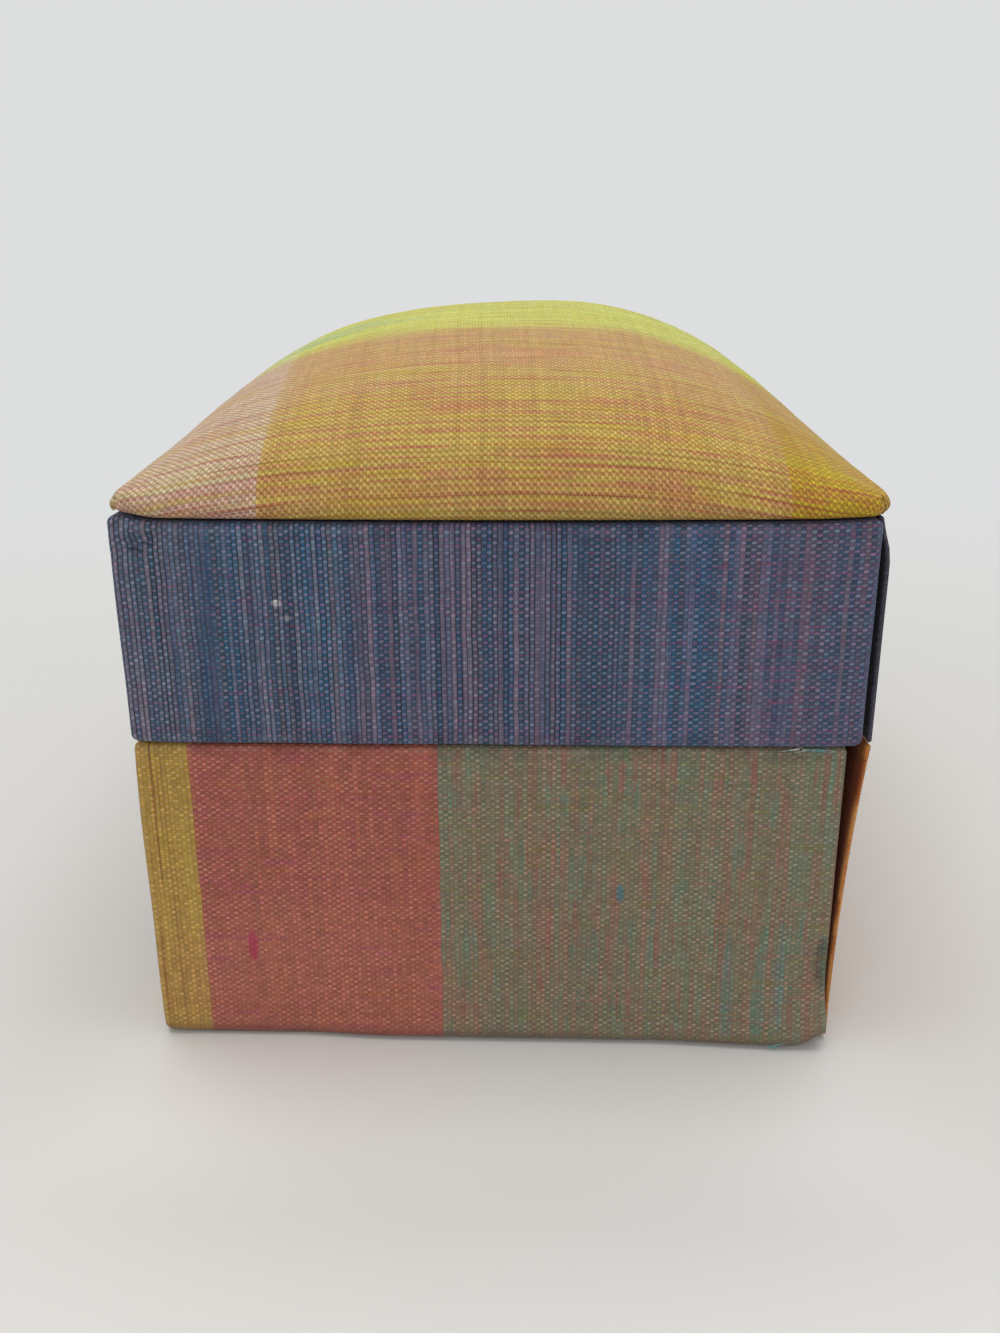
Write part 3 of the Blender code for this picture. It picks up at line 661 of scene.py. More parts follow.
def planRing(sides, radius, inset, spacing):
    # rounded rectangle drawn in by inset, anticlockwise from the middle of the hinge side. Each point is
    # a share along a side, or centre + radius (cos a, sin a) on a corner whose radius shrinks with inset.
    left, right, front, back = sides
    inset = np.asarray(inset, float).reshape(-1, 1)
    rad = np.maximum(radius - inset, 0.02 * mm)
    left, right, back = left + inset + rad, right - inset - rad, back - inset - rad
    near = front + inset + rad
    x, y, xs, ys, facing = right + rad, 0 * rad, [], [], []
    centres = (right, back), (left, back), (left, near), (right, near), (right, y)
    for quarter, (cx, cy) in enumerate(centres):
        turn = (quarter + np.linspace(0, 1, 9)) * quarterTurn
        arcX, arcY = cx + rad * np.cos(turn), cy + rad * np.sin(turn)
        stepX, stepY = arcX[:, :1] - x, arcY[:, :1] - y
        count = max(int(math.hypot(stepX[0, 0], stepY[0, 0]) / spacing), 2)
        share = np.linspace(0, 1, count + 1)
        xs += [x + stepX * share, arcX[:, 1:-1]]
        ys += [y + stepY * share, arcY[:, 1:-1]]
        facing += [turn[0]] * (count + 1) + [*turn[1:-1]]
        x, y = arcX[:, -1:], arcY[:, -1:]
    # the fifth corner is the start again, so its arc and the point there go
    x, y, facing = np.hstack(xs[:-1])[:, :-1], np.hstack(ys[:-1])[:, :-1], np.array(facing[:-8])
    face = int(np.argmin(inset))
    outer = together(x[face], y[face])
    run = lengthAlong(np.vstack([outer, outer[:1]]))
    middle = np.argmin(np.hypot(outer[:, 0], outer[:, 1] - front))
    return x, y, together(np.cos(facing), np.sin(facing)), run - run[middle] + outer[middle, 0]


def stripProfile(low, high, look):
    # (inset, height) from the turn-in below, round the lower fold, up the face and round the upper fold
    edge, angle = look["edge"] * mm, np.linspace(0, quarterTurn, 7)
    rise = np.linspace(low + edge, high - edge, look["faceSteps"])[1:-1]
    lower = np.vstack([np.linspace([look["turnLow"] * mm, low], [edge, low], 5)[:-1],
                       together(edge * (1 - np.sin(angle)), low + edge * (1 - np.cos(angle)))])
    upper = np.vstack([together(edge * (1 - np.cos(angle)), high - edge * (1 - np.sin(angle))),
                       np.linspace([edge, high], [look["turnHigh"] * mm, high], 5)[1:]])
    profile = np.vstack([lower, together(0, rise), upper])
    run = lengthAlong(profile)
    return profile, run - run[len(lower) - 1] + low + edge


def cardSection(halfThick, halfWide, radius, inset, steps):
    # rounded rectangle round a card, drawn in by inset
    t, w, r = halfThick - inset, halfWide - inset, max(radius - inset, 0)
    turn, wide = np.linspace(0, quarterTurn, 5), np.linspace(-(w - r), w - r, steps)
    parts = [together(t, wide)[1:-1]]
    for number, (cx, cy) in enumerate(((t - r, w - r), (r - t, w - r), (r - t, r - w), (t - r, r - w))):
        angle = turn + number * quarterTurn
        parts.append(together(cx + r * np.cos(angle), cy + r * np.sin(angle)))
        if number == 1:
            parts.append(together(-t, -wide)[1:-1])
    return np.vstack(parts)


def coveredCard(name, corners, look, material, bend=None):
    # A card in cloth: the section is carried along the length, and drawn in to a line at both ends.
    # The cloth swells over the card by pillow and waves by wave. A bend moves the finished points.
    low, high = corners
    thin, wide, tall = np.argsort(high - low)
    middle, (halfThick, halfWide, halfLong) = (high + low) / 2, np.sort(high - low) / 2
    radius, spacing, fold = min(look["edge"] * mm, halfThick), look["spacing"] * mm, 3 * mm
    turn = np.linspace(0, quarterTurn, 5)
    endInset = np.concatenate([np.linspace(halfThick, radius, 3)[:-1], radius * (1 - np.sin(turn))])
    endAlong = np.concatenate([[halfLong, halfLong], halfLong - radius * (1 - np.cos(turn))])
    body = np.linspace(-halfLong + radius, halfLong - radius, max(int(2 * halfLong / spacing), 4))[1:-1]
    along = np.concatenate([-endAlong, body, endAlong[::-1]])[:, None]
    inset = np.concatenate([endInset, 0 * body, endInset[::-1]])
    steps = max(int(2 * halfWide / spacing), 4)
    section = np.stack([cardSection(halfThick, halfWide, radius, step, steps) for step in inset])
    points = np.zeros((*section.shape[:2], 3))
    points[..., thin], points[..., wide], points[..., tall] = section[..., 0], section[..., 1], along
    flat = smooth(halfWide - np.abs(section[..., 1]), 0, fold) * smooth(halfLong - np.abs(along), 0, fold)
    wave = softNoise(points + middle, look["waveSize"] * mm, sum(map(ord, name)))
    points[..., thin] += np.sign(section[..., 0]) * flat * (look["pillow"] + look["wave"] * wave) * mm
    outline = section[len(inset) // 2]
    run = lengthAlong(np.vstack([outline, outline[:1]]))
    points = points + middle
    if bend:
        bend(points)
    piece = makeGrid(name, points, together(run, along), material, (0, 1))
    closeSeams(piece)
    return piece


def closedPad(name, top, bottom, material):
    # a grid of points for the upper side, the same grid laid flat below, and a band round both
    index, under = gridIndex(top), top.copy()
    under[..., 2] = bottom
    border = borderIndex(index)
    band = np.pad([border, border + index.size], ((0, 0), (0, 1)), "wrap")
    faces = np.vstack([quads(grid) for grid in (index, (index + index.size)[::-1], band[::-1])])
    points = np.vstack([top.reshape(-1, 3), under.reshape(-1, 3)])
    return makePiece(name, points, faces, points[faces][..., :2], material)


def finish(piece, body, slot, *replaced):
    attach(piece, body)
    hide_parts(*replaced)


cadBox = {name: [np.array(corner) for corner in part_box(name)] for name in nodes}


# Padded top of the lid

padSize = dict(
    crownPower=(2.4, 0.66), lengthPower=(1.6, 0.55), edge=2.3, draw=0.5, roll=1.25, cornerCut=(0.9, 1.5),
    earRise=-0.35, lean=0.05, flank=(0.02, 0.2), crownDrop=0.5, hollow=(-0.14, -0.1, 0.3, 0.4),
    cells=(66, 92), turnIn=9, wrinkle=0.1, frontDrop=0.35, frontSag=0.25, rightLift=0.2, leftLift=0.6,
    clothSkew=2.4, clothSpread=0.05, cutPower=40, earPower=14, wrinkleSize=(13, 5), waddingWave=(0.12, 6),
    thick=0.4, moveCap=0.5, steps=20)
padCloth = {
    "quality": 8, "mass": 0.0002, "tension_stiffness": 12, "compression_stiffness": 12, "shear_stiffness": 4,
    "bending_stiffness": 0.05, "shrink_min": -0.001, "use_pressure": True, "uniform_pressure_force": 10,
}


def crownPoints(halfX, halfY, base, crown, look, cells):
    # height = base + crown (1 - |s|^2.4)^0.66 (1 - |t|^1.6)^0.55 at shares s across and t along, with the
    # peak leaning to one side, a shallow hollow beside it, an ear at each corner and the corner drawn in
    s, t = sineGrid(cells)
    leaning = s - look["lean"] * (1 - s * s) ** 3 + np.where(s < 0, *look["flank"]) * s * s * (1 - s * s)
    (acrossPower, acrossRoot), (alongPower, alongRoot) = look["crownPower"], look["lengthPower"]
    across = np.clip(1 - np.abs(np.clip(leaning, -1, 1)) ** acrossPower, 0, 1) ** acrossRoot
    along = np.clip(1 - np.abs(t) ** alongPower, 0, 1) ** alongRoot
    cut = np.where(s < 0, *look["cornerCut"]) * mm * np.abs(s * t) ** look["cutPower"]
    ear = look["earRise"] * mm * np.abs(s * t) ** look["earPower"]
    middleS, middleT, reach, depth = look["hollow"]
    hollow = depth * mm * hump(np.hypot(s - middleS, t - middleT), 0, reach)
    height = base + (crown - look["crownDrop"] * mm) * across * along + ear - hollow
    return np.stack([s * halfX - np.sign(s) * cut, t * halfY - np.sign(t) * cut, height], axis=2), s, t


def seamSettle(points, seam):
    # the seam under the pad sags in the middle of the front and lifts at the hinge side,
    # less and less away from the seam and from the front
    low, high = cadBox["lid_rim_cover"]
    share = points[..., 0] / high[0]
    front = 1 - smooth(points[..., 1], low[1] + 2 * mm, low[1] + 30 * mm)
    sag = padSize["frontDrop"] + padSize["frontSag"] * (1 - share ** 2)
    sag = sag - padSize["rightLift"] * smooth(share, 0.8, 1) - padSize["leftLift"] * smooth(-share, 0.9, 1)
    return -sag * mm * front * hump(points[..., 2], seam, 7 * mm)


def swell(top, look):
    # cloth simulation of the sheet over the wadding: its border is sewn down, its threads are cut a little
    # long and pressure lifts it. Each point moves as the cloth does, by the cap at most.
    rest = top.reshape(-1, 3)
    sheet = makeGrid("swellingSheet", top, top[..., :2], fibres)
    sewn = sheet.vertex_groups.new(name="sewn")
    sewn.add(borderIndex(gridIndex(top)).tolist(), 1, "REPLACE")
    cloth = sheet.modifiers.new("cloth", "CLOTH")
    for name, value in padCloth.items():
        setattr(cloth.settings, name, value)
    cloth.settings.vertex_group_mass = sewn.name
    cloth.settings.effector_weights.gravity = 0
    cloth.collision_settings.use_collision = False
    cloth.point_cache.frame_start = 1
    cloth.point_cache.frame_end = look["steps"]
    for step in range(1, look["steps"] + 1):
        bpy.context.scene.frame_set(step)
    swollen = sheet.evaluated_get(bpy.context.evaluated_depsgraph_get()).data
    moved = np.empty(len(swollen.vertices) * 3)
    swollen.vertices.foreach_get("co", moved)
    bpy.data.objects.remove(sheet)
    bpy.context.scene.frame_set(1)
    move = moved.reshape(-1, 3) - rest
    far = np.linalg.norm(move, axis=1, keepdims=True)
    print("pad silk swelled by", round(far.max() / mm, 2), "mm at most, mean", round(far.mean() / mm, 3))
    cap = look["moveCap"] * mm
    move *= cap * np.tanh(far / cap) / np.maximum(far, 1e-9)
    return (rest + move).reshape(top.shape)


def buildPadCover(look):
    low, high = cadBox["lid_pad_cover"]
    edge, draw, roll = look["edge"] * mm, look["draw"] * mm, look["roll"] * mm
    halfX, halfY, base = high[0] - draw, high[1] - draw, low[2] + edge
    top, s, t = crownPoints(halfX, halfY, base, high[2] - low[2] - edge, look, look["cells"])
    # gathers fan out of the corners, and the wadding lies a little unevenly
    long, short = look["wrinkleSize"]
    wrinkle = softNoise(top, long * mm, 5) + np.abs(s * t) ** 3 * 1.5 * softNoise(top, short * mm, 6)
    top[..., 2] += look["wrinkle"] * mm * wrinkle * (1 - s ** 8) * (1 - t ** 8)
    top = swell(top, look)
    index = gridIndex(top)
    border = borderIndex(index)
    rim = top.reshape(-1, 3)[border]
    # outward direction of the plan along the border
    ahead, behind = np.roll(rim, -1, axis=0), np.roll(rim, 1, axis=0)
    outward = np.stack([ahead[:, 1] - behind[:, 1], behind[:, 0] - ahead[:, 0]], axis=1)
    outward /= np.linalg.norm(outward, axis=1, keepdims=True)
    # the roll: half round from the border to the underside, then the cloth turned in
    steps = [(draw * math.sin(a), (roll - edge) * a / quarterTurn)
             for a in np.linspace(0, quarterTurn, 4)[1:]]
    steps += [(draw - roll * (1 - math.cos(a)), roll - edge - roll * math.sin(a))
              for a in np.linspace(0, quarterTurn, 7)[1:]]
    steps += [(draw - roll - inset * mm, -edge) for inset in (1.5, 4, look["turnIn"] - 1.5)]
    rings = []
    for out, down in steps:
        ring = rim.copy()
        if out >= -roll:
            ring[:, :2] += outward * out
        else:
            # under the pad the cloth is mitred, so the border shrinks side by side
            ring[:, 0] = np.clip(rim[:, 0], -halfX - out, halfX + out)
            ring[:, 1] = np.clip(rim[:, 1], -halfY - out, halfY + out)
        ring[:, 2] = base + down + (rim[:, 2] - base) * (1 - smooth(-down, 0, edge))
        rings.append(ring)
    points = np.vstack([top.reshape(-1, 3)] + rings)
    points[:, 2] += seamSettle(points, low[2])
    ringIndex = np.vstack([border, gridIndex(np.array(rings)) + index.size])
    ringIndex = np.pad(ringIndex, ((0, 0), (0, 1)), "wrap")
    faces = np.vstack([quads(index), quads(ringIndex[::-1])])
    # cloth coordinates: length over the crown from the middle lines, with the cloth laid a little askew,
    # and on from the border along the roll
    grid = points[:index.size].reshape(top.shape)
    u = np.pad(np.cumsum(np.linalg.norm(np.diff(grid, axis=1), axis=2), axis=1), ((0, 0), (1, 0)))
    v = np.pad(np.cumsum(np.linalg.norm(np.diff(grid, axis=0), axis=2), axis=0), ((1, 0), (0, 0)))
    u -= u[:, grid.shape[1] // 2][:, None]
    v -= v[grid.shape[0] // 2]
    back = smooth(grid[..., 1], low[1], low[1] + 60 * mm)
    u = (u + look["clothSkew"] * mm * back) / (1 + look["clothSpread"] * back)
    flat = together(u, v).reshape(-1, 2)
    run = lengthAlong(np.array([(0, 0)] + steps))[1:]
    flat = np.vstack([flat] + [flat[border] + outward * far for far in run])
    piece = makePiece("lidPadCover", points, faces, flat[faces], silks["lid"])
    fine = piece.modifiers.new("fine", "SUBSURF")
    fine.levels = fine.render_levels = 1
    thicken(piece, look["thick"])
    finish(piece, "lid", "gold_silk", "lid_pad_cover")


def buildWadding(look):
    low, high = cadBox["lid_pad_wadding"]
    top, s, t = crownPoints(high[0], high[1], low[2] + 0.3 * mm, high[2] - low[2] - 1.4 * mm,
                            {**look, "earRise": 0}, (40, 56))
    wave, size = look["waddingWave"]
    top[..., 2] += wave * mm * softNoise(top, size * mm, 11) * (1 - s ** 8) * (1 - t ** 8)
    piece = closedPad("lidPadWadding", top, low[2], fibres)
    finish(piece, "lid", "wadding", "lid_pad_wadding")


buildPadCover(padSize)
buildWadding(padSize)
print("padded top made")


# Silk strips round the lid's rim and round the base

rimSize = dict(
    edge=0.8, corner=1, turnLow=3.6, turnHigh=7.5, spacing=0.8, faceSteps=44, thick=0.4, wave=0.1,
    waveSize=24, edgeWave=0.1, cornerLift=0.35, pillow=0.12, pucker=0.7,
    crease=((-43.8, 67.4), (-39, 70.1)), hang=0, narrow=0.15, bow=0, rightRound=0, footMiddle=0,
    footHinge=0, footPlaces=((-28, -14), (18, 38), (41.5, 45)),
    footHigh=0.17, pillowReach=9, edgeWaveSize=16, liftReach=2.6, roundReach=2.2)
baseSize = {**rimSize, **dict(
    edge=1, turnLow=5.8, turnHigh=3.4, spacing=0.9, wave=0.12, waveSize=30, edgeWave=0.06, cornerLift=0.3,
    pillow=0.15, pucker=0, hang=0.15, narrow=-0.3, bow=0.25, rightRound=1.6, footMiddle=0.8, footHinge=1)}


def nearCorner(points, sides, reach):
    # 1 at the upright corners, fading with the distance from the nearest one
    left, right, front, back = sides
    dx = np.minimum(np.abs(points[..., 0] - left), np.abs(points[..., 0] - right))
    dy = np.minimum(np.abs(points[..., 1] - front), np.abs(points[..., 1] - back))
    return np.exp(-(dx ** 2 + dy ** 2) / reach ** 2)


def buildStrip(name, node, look, material, body, slot):
    # the strip's profile is carried round the plan, and each point moves out and up as the cloth lies there
    low, high = cadBox[node]
    low = low + np.array([look["narrow"], 0, -look["hang"]]) * mm
    sides = (low[0], high[0], low[1], high[1])
    profile, heights = stripProfile(low[2], high[2], look)
    x, y, normal, run = planRing(sides, look["corner"] * mm, profile[:, 0], look["spacing"] * mm)
    z = profile[:, 1:]
    points = together(x, y, z)
    share = (z - low[2]) / (high[2] - low[2])
    flat = np.sin(math.pi * np.clip(share, 0, 1)) ** 0.5
    out = look["wave"] * softNoise(points, look["waveSize"] * mm, 21) * flat
    out = out + look["pillow"] * flat * (1 - nearCorner(points, sides, look["pillowReach"] * mm))
    # a crease under a soft ridge, along a line on the front near its left corner
    (x0, z0), (x1, z1) = np.array(look["crease"]) * mm
    length, right, above = math.hypot(x1 - x0, z1 - z0), run[:-1] - x0, z - z0
    ahead = (right * (x1 - x0) + above * (z1 - z0)) / length ** 2
    beside = (above * (x1 - x0) - right * (z1 - z0)) / length
    ridge = 0.6 * hump(beside, 1.4 * mm, 0.9 * mm) - hump(beside, 0, 0.7 * mm)
    out = out + look["pucker"] * hump(ahead, 0.45, 0.45) * ridge
    # the side away from the hinge bows outwards
    out = out + look["bow"] * flat * (x < low[0] + 4 * mm)
    # the front swells out at its foot, the more towards the hinge side, up to the corner
    middle, hingeSide, corner = (smooth(x / mm, *places) for places in look["footPlaces"])
    foot = (look["footMiddle"] * middle + look["footHinge"] * hingeSide) * (1 - corner)
    out = out + foot * (1 - smooth(y, low[1], low[1] + 0.8 * mm)) * hump(share, 0, look["footHigh"])
    edges = hump(share, 0, 0.15) + hump(share, 1, 0.15)
    up = look["edgeWave"] * softNoise(points * [1, 1, 0], look["edgeWaveSize"] * mm, 31) * edges
    up = up + look["cornerLift"] * nearCorner(points, sides, look["liftReach"] * mm) * hump(share, 0, 0.1)
    rounded = np.hypot(x - high[0], y - low[1])
    up = up + look["rightRound"] * hump(rounded, 0, look["roundReach"] * mm) * hump(share, 0, 0.12)
    outside = np.clip(1 - profile[:, :1] / (2 * mm), 0, 1) * mm
    up = up * outside
    if body == "lid":
        up = up + seamSettle(points, high[2])
    points = points + together(normal[:, 0] * out * outside, normal[:, 1] * out * outside, up)
    piece = makeGrid(name, points, together(run, heights[:, None]), material, (0, 1))
    thicken(piece, look["thick"])
    flatSize = (float(heights[-1] - heights[0]), float(2 * (sides[1] - sides[0] + sides[3] - sides[2])))
    finish(piece, body, slot, node)


buildStrip("lidRimCover", "lid_rim_cover", rimSize, silks["rim"], "lid", "blue_silk")
buildStrip("baseCover", "base_cover", baseSize, silks["plaid"], "base", "plaid_silk")
print("silk strips made")


# Panels over the hinge: card in silk, glued on along the hinge side

panelSize = dict(
    edge=0.3, spacing=1.6, waveSize=26, pillow=0, wave=0.05, topCurl=1.2, curlReach=7, leanPower=2.2)


def buildPanels(look):
    lidLow, lidHigh = cadBox["lid_outer_panel"]
    low, high = cadBox["base_outer_panel"]
    thick = lidHigh[0] - lidLow[0]
    lean = high[0] - low[0] - thick

    def curl(points):
        # the top edge is pressed in under the pad's ear
        near = smooth(points[..., 2], lidHigh[2] - look["curlReach"] * mm, lidHigh[2])
        points[..., 0] -= look["topCurl"] * mm * near ** 2

    def leanOut(points):
        # from the foot outwards to the joint, mostly near the joint
        share = np.clip((points[..., 2] - low[2]) / (high[2] - low[2]), 0, 1)
        points[..., 0] += lean * (share ** look["leanPower"] - 1)

    lidPanel = coveredCard("lidOuterPanel", (lidLow, lidHigh), look, silks["dark"], curl)
    finish(lidPanel, "lid", "dark_silk", "lid_outer_panel")
    upright = (np.array([high[0] - thick, low[1], low[2]]), high)
    basePanel = coveredCard("baseOuterPanel", upright, look, silks["brown"], leanOut)
    finish(basePanel, "base", "brown_silk", "base_outer_panel")


hingeSize = dict(thick=0.3, clear=0.05, slack=8, joint=43.05, wave=0.05, waveSize=14, rows=61, columns=111)


def buildHingeCloth(look):
    # a strip that steps outwards from the base's wall to the lid's in the slack below the joint
    low, high = cadBox["hinge_cloth"]
    height = np.linspace(low[2], high[2], look["rows"])[:, None]
    y = np.linspace(low[1], high[1], look["columns"])
    foot, joint = (look["joint"] - look["slack"]) * mm, look["joint"] * mm
    free = smooth(height, foot, joint)
    inset = (look["thick"] / 2 + look["clear"]) * mm
    points = together(low[0] + inset + (high[0] - low[0] - 2 * inset) * free, y, height)
    points[..., 0] += look["wave"] * mm * free * (1 - free) * 4 * softNoise(points, look["waveSize"] * mm, 41)
    piece = makeGrid("hingeCloth", points, together(y, height), silks["dark"])
    thicken(piece, look["thick"], 0)
    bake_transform(piece)
    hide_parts("hinge_cloth")


buildPanels(panelSize)
buildHingeCloth(hingeSize)
print("panels and hinge cloth made")


# Lining: cards in teal silk that stand in the base as its neck, line the lid and make the tray

liningSize = dict(edge=0.35, spacing=2, waveSize=15, pillow=0.03, wave=0.05)
cardSize = dict(edge=0.5, spacing=2, waveSize=13, pillow=0.05, wave=0.05)
sheetSize = dict(edge=0.2, spacing=2, waveSize=18, pillow=0, wave=0.04)


def buildLinings():
    sides = ("front", "back", "left", "right")
    cards = [("base_lining_" + side, "base", liningSize) for side in sides]
    cards += [("lid_lining_" + side, "lid", sheetSize) for side in sides]
    cards += [("tray_wall_" + side, "tray", cardSize) for side in sides]
    cards += [(node, "tray", cardSize) for node in ("tray_divider_front", "tray_divider_back", "tray_floor")]
    cards += [(node, "base", cardSize) for node in ("tray_rest_front", "tray_rest_back", "base_well_divider")]
    cards += [("base_underside", "base", liningSize), ("lid_ceiling", "lid", liningSize)]
    for node, body, look in cards:
        name = node[0] + node.title().replace("_", "")[1:]
        piece = coveredCard(name, cadBox[node], look, silks["teal"])
        finish(piece, body, "teal_silk", node)


buildLinings()
print("lining cards made")


# Mirror in its covered frame

frameSize = dict(width=7.5, corner=3, edge=0.8, steps=12, spacing=1.6, pillow=0.12, wave=0.05, waveSize=9)


def buildMirrorFrame(look):
    # a rounded section carried round the plan, swelling a little between its edges
    low, high = cadBox["mirror_frame"]
    halfThick, halfWide = (high[2] - low[2]) / 2, look["width"] * mm / 2
    section = cardSection(halfThick, halfWide, look["edge"] * mm, 0, look["steps"])
    run = lengthAlong(np.vstack([section, section[:1]]))
    sides = (low[0], high[0], low[1], high[1])
    x, y, _, around = planRing(sides, look["corner"] * mm, halfWide + section[:, 1], look["spacing"] * mm)
    points = together(x, y, (low[2] + high[2]) / 2 + section[:, :1])
    flat = smooth(halfWide - np.abs(section[:, 1]), 0, 2 * mm)[:, None]
    pillow = look["pillow"] + look["wave"] * softNoise(points, look["waveSize"] * mm, 51)
    points[..., 2] -= (section[:, :1] < 0) * flat * pillow * mm
    piece = makeGrid("mirrorFrame", points, together(around, run[:, None]), silks["frame"], (1, 1))
    closeSeams(piece)
    finish(piece, "lid", "gold_silk", "mirror_frame")


buildMirrorFrame(frameSize)
nodes["mirror"].material_slots[0].material = silvered
print("mirror made")


# Velvet: a pad on the floor of the well and four ring rolls in the tray

floorPadSize = dict(cells=(40, 60), edgePower=9, edgeRoot=0.4, wave=0.1, waveSize=12, crown=0.25)
rollSize = dict(
    around=56, along=84, cap=2.7, power=2.3, wave=0.1, waveSize=7, pucker=0.12, gathers=14, high=0.985,
    wide=0.995)


def buildFloorPad(look):
    # height = thickness (1 - |s|^9)^0.4 (1 - |t|^9)^0.4 with a slight crown and waves
    low, high = cadBox["base_floor_pad"]
    middle, half = (low + high) / 2, (high - low) / 2
    s, t = sineGrid(look["cells"])
    edge = ((1 - np.abs(s) ** look["edgePower"]) * (1 - np.abs(t) ** look["edgePower"])) ** look["edgeRoot"]
    top = together(middle[0] + s * half[0], middle[1] + t * half[1], 0)
    wave = look["wave"] * softNoise(top, look["waveSize"] * mm, 61) - look["crown"] * (s ** 2 + t ** 2) / 2
    top[..., 2] = low[2] + 0.4 * mm + (high[2] - low[2] - 0.55 * mm + wave * mm) * edge
    piece = closedPad("baseFloorPad", top, low[2], velvet)
    finish(piece, "base", "teal_velvet", "base_floor_pad")


def buildRoll(name, node, look):
    # radius^power = |cos|^power + |sin|^power round the roll, shrinking over each end as a quarter ellipse
    low, high = cadBox[node]
    middle, (half, radius, _) = (low + high) / 2, (high - low) / 2
    cap, power = look["cap"] * mm, look["power"]
    turn = np.linspace(0, 2 * math.pi, look["around"] + 1)
    tip = cap * (1 - np.sin(np.linspace(0, quarterTurn, 14)))
    body = np.linspace(cap - half, half - cap, look["along"])[1:-1]
    along = np.concatenate([tip[::-1] - half, body, half - tip])[:, None]
    inside = np.clip((half - np.abs(along)) / cap, 0, 1)
    size = np.sqrt(np.clip(1 - (1 - inside) ** 2, 0, 1))
    squared = (np.abs(np.cos(turn)) ** power + np.abs(np.sin(turn)) ** power) ** (-1 / power)
    gather = np.cos(turn * look["gathers"]) * (1 - size) * size * 4
    even = together(along / 2.5, radius * np.cos(turn), radius * np.sin(turn))
    wave = softNoise(even, look["waveSize"] * mm, sum(map(ord, name)))
    dent = look["wave"] * (1 + wave) / 2 * size + look["pucker"] * gather
    reach = radius * size * squared * look["high"] - mm * dent
    points = together(along, reach * np.cos(turn) * look["wide"], reach * np.sin(turn)) + middle
    piece = makeGrid(name, points[:, :-1], together(radius * turn, along), velvet, (0, 1))
    closeSeams(piece)
    finish(piece, "tray", "teal_velvet", node)


buildFloorPad(floorPadSize)
for number in range(1, 5):
    buildRoll("ringRoll" + str(number), "ring_roll_" + str(number), rollSize)
print("velvet pad and rolls made")


# Ribbon pulls

pullSize = dict(thick=0.3, clear=0.2, bend=1.4, fold=0.6, width=10, bow=0.2)


def buildPull(name, side, inward, look):
    # up the end wall, round a bend, inwards, round a fold and back on itself
    low, high = cadBox["tray_pull_" + side]
    wall, half = low[1] if inward > 0 else high[1], look["clear"] * mm
    bend, fold, wide = look["bend"] * mm, look["fold"] * mm, look["width"] * mm
    lie = high[2] - half - 2 * fold
    reach = high[1] - low[1] - 2 * half - bend - fold
    up = np.linspace(low[2], lie - bend, 24)
    quarter, around = np.linspace(0, quarterTurn, 10), np.linspace(-quarterTurn, quarterTurn, 16)
    flat = np.linspace(bend, bend + reach, 20)
    line = np.vstack([
        together(0, up),
        together(bend * (1 - np.cos(quarter)), lie - bend + bend * np.sin(quarter)),
        together(flat, lie)[1:-1],
        together(bend + reach + fold * np.cos(around), lie + fold + fold * np.sin(around)),
        together(flat[::-1], lie + 2 * fold)[1:]])
    across, height, run = line[:, :1], line[:, 1:], lengthAlong(line)
    width = np.linspace(-0.5, 0.5, 15) * wide
    # the upper layer bows a little between its edges
    upper = smooth(run, run[-30], run[-12])[:, None]
    bow = look["bow"] * mm * upper * (1 - (2 * width / wide) ** 2)
    points = together((low[0] + high[0]) / 2 + width, wall + inward * (half + across), height - bow)
    piece = makeGrid(name, points, together(width, run[:, None]), satin)
    thicken(piece, look["thick"], 0)
    finish(piece, "tray", "ribbon", "tray_pull_" + side)


buildPull("trayPullFront", "front", 1, pullSize)
buildPull("trayPullBack", "back", -1, pullSize)
for node in nodes.values():
    if node.material_slots[0].material.name.startswith("greyboard"):
        node.material_slots[0].material = board
print("ribbons and boards made")


# Loose threads: a frayed tuft in the joint, and an end that hangs from the front's lower edge

threadSize = dict(
    radius=0.05, steps=14, sides=6, curl=0.16,
    tuft=dict(start=(35.6, 42.6), end=(39.4, 42.5), count=11, length=(0.9, 2.6), out=0.12),
    loose=dict(start=(36.3, 1.1), end=(36.9, 0.5), count=4, length=(0.8, 1.6), out=1.95))


def fibreMaterial(name, colour, pale):
    # silk floss, paler in patches
    material, sockets, tree = newMaterial(name, {})
    patch = noise(addNode(tree, "TexCoord", "Object"), 900, 1)
    feed(sockets["Base Color"], blendColours(fade(patch, 0.4, 0.6), colour, pale))
    feed(sockets["Roughness"], patch * 0.2 + 0.45)
    return material


def buildThreads(name, group, look, material, seed):
    # each fibre runs along x from its own start, and curls up and down round that line more and more
    chance = np.random.default_rng(seed)
    count, steps, sides = group["count"], look["steps"], look["sides"]
    share = np.linspace(0, 1, steps)[:, None]
    turn = np.linspace(0, 2 * math.pi, sides + 1)[:-1]
    start = np.linspace(group["start"], group["end"], count)[:, None, None] * mm
    each = (count, 1, 1)
    length = chance.uniform(*group["length"], each) * mm * chance.choice([-1, 1], each)
    phase, pace, rise = (chance.uniform(low, high, each) for low, high in ((0, 6.28), (2, 5), (-0.25, 0.25)))
    curl, radius = look["curl"] * mm * share, look["radius"] * mm * (1 - 0.5 * share)
    x = start[..., 0] + length * share
    front = cadBox["base_cover"][0][1] - group["out"] * mm
    y = front + curl * np.sin(phase + pace * share) + radius * np.cos(turn)
    z = start[..., 1] + rise * length * share + curl * np.cos(phase + pace * share) + radius * np.sin(turn)
    points = together(x, y, z)
    faces = np.vstack([quads(gridIndex(fibre, (0, 1))) + number * steps * sides
                       for number, fibre in enumerate(points)])
    piece = makePiece(name, points, faces, 0, material)
    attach(piece, "base")


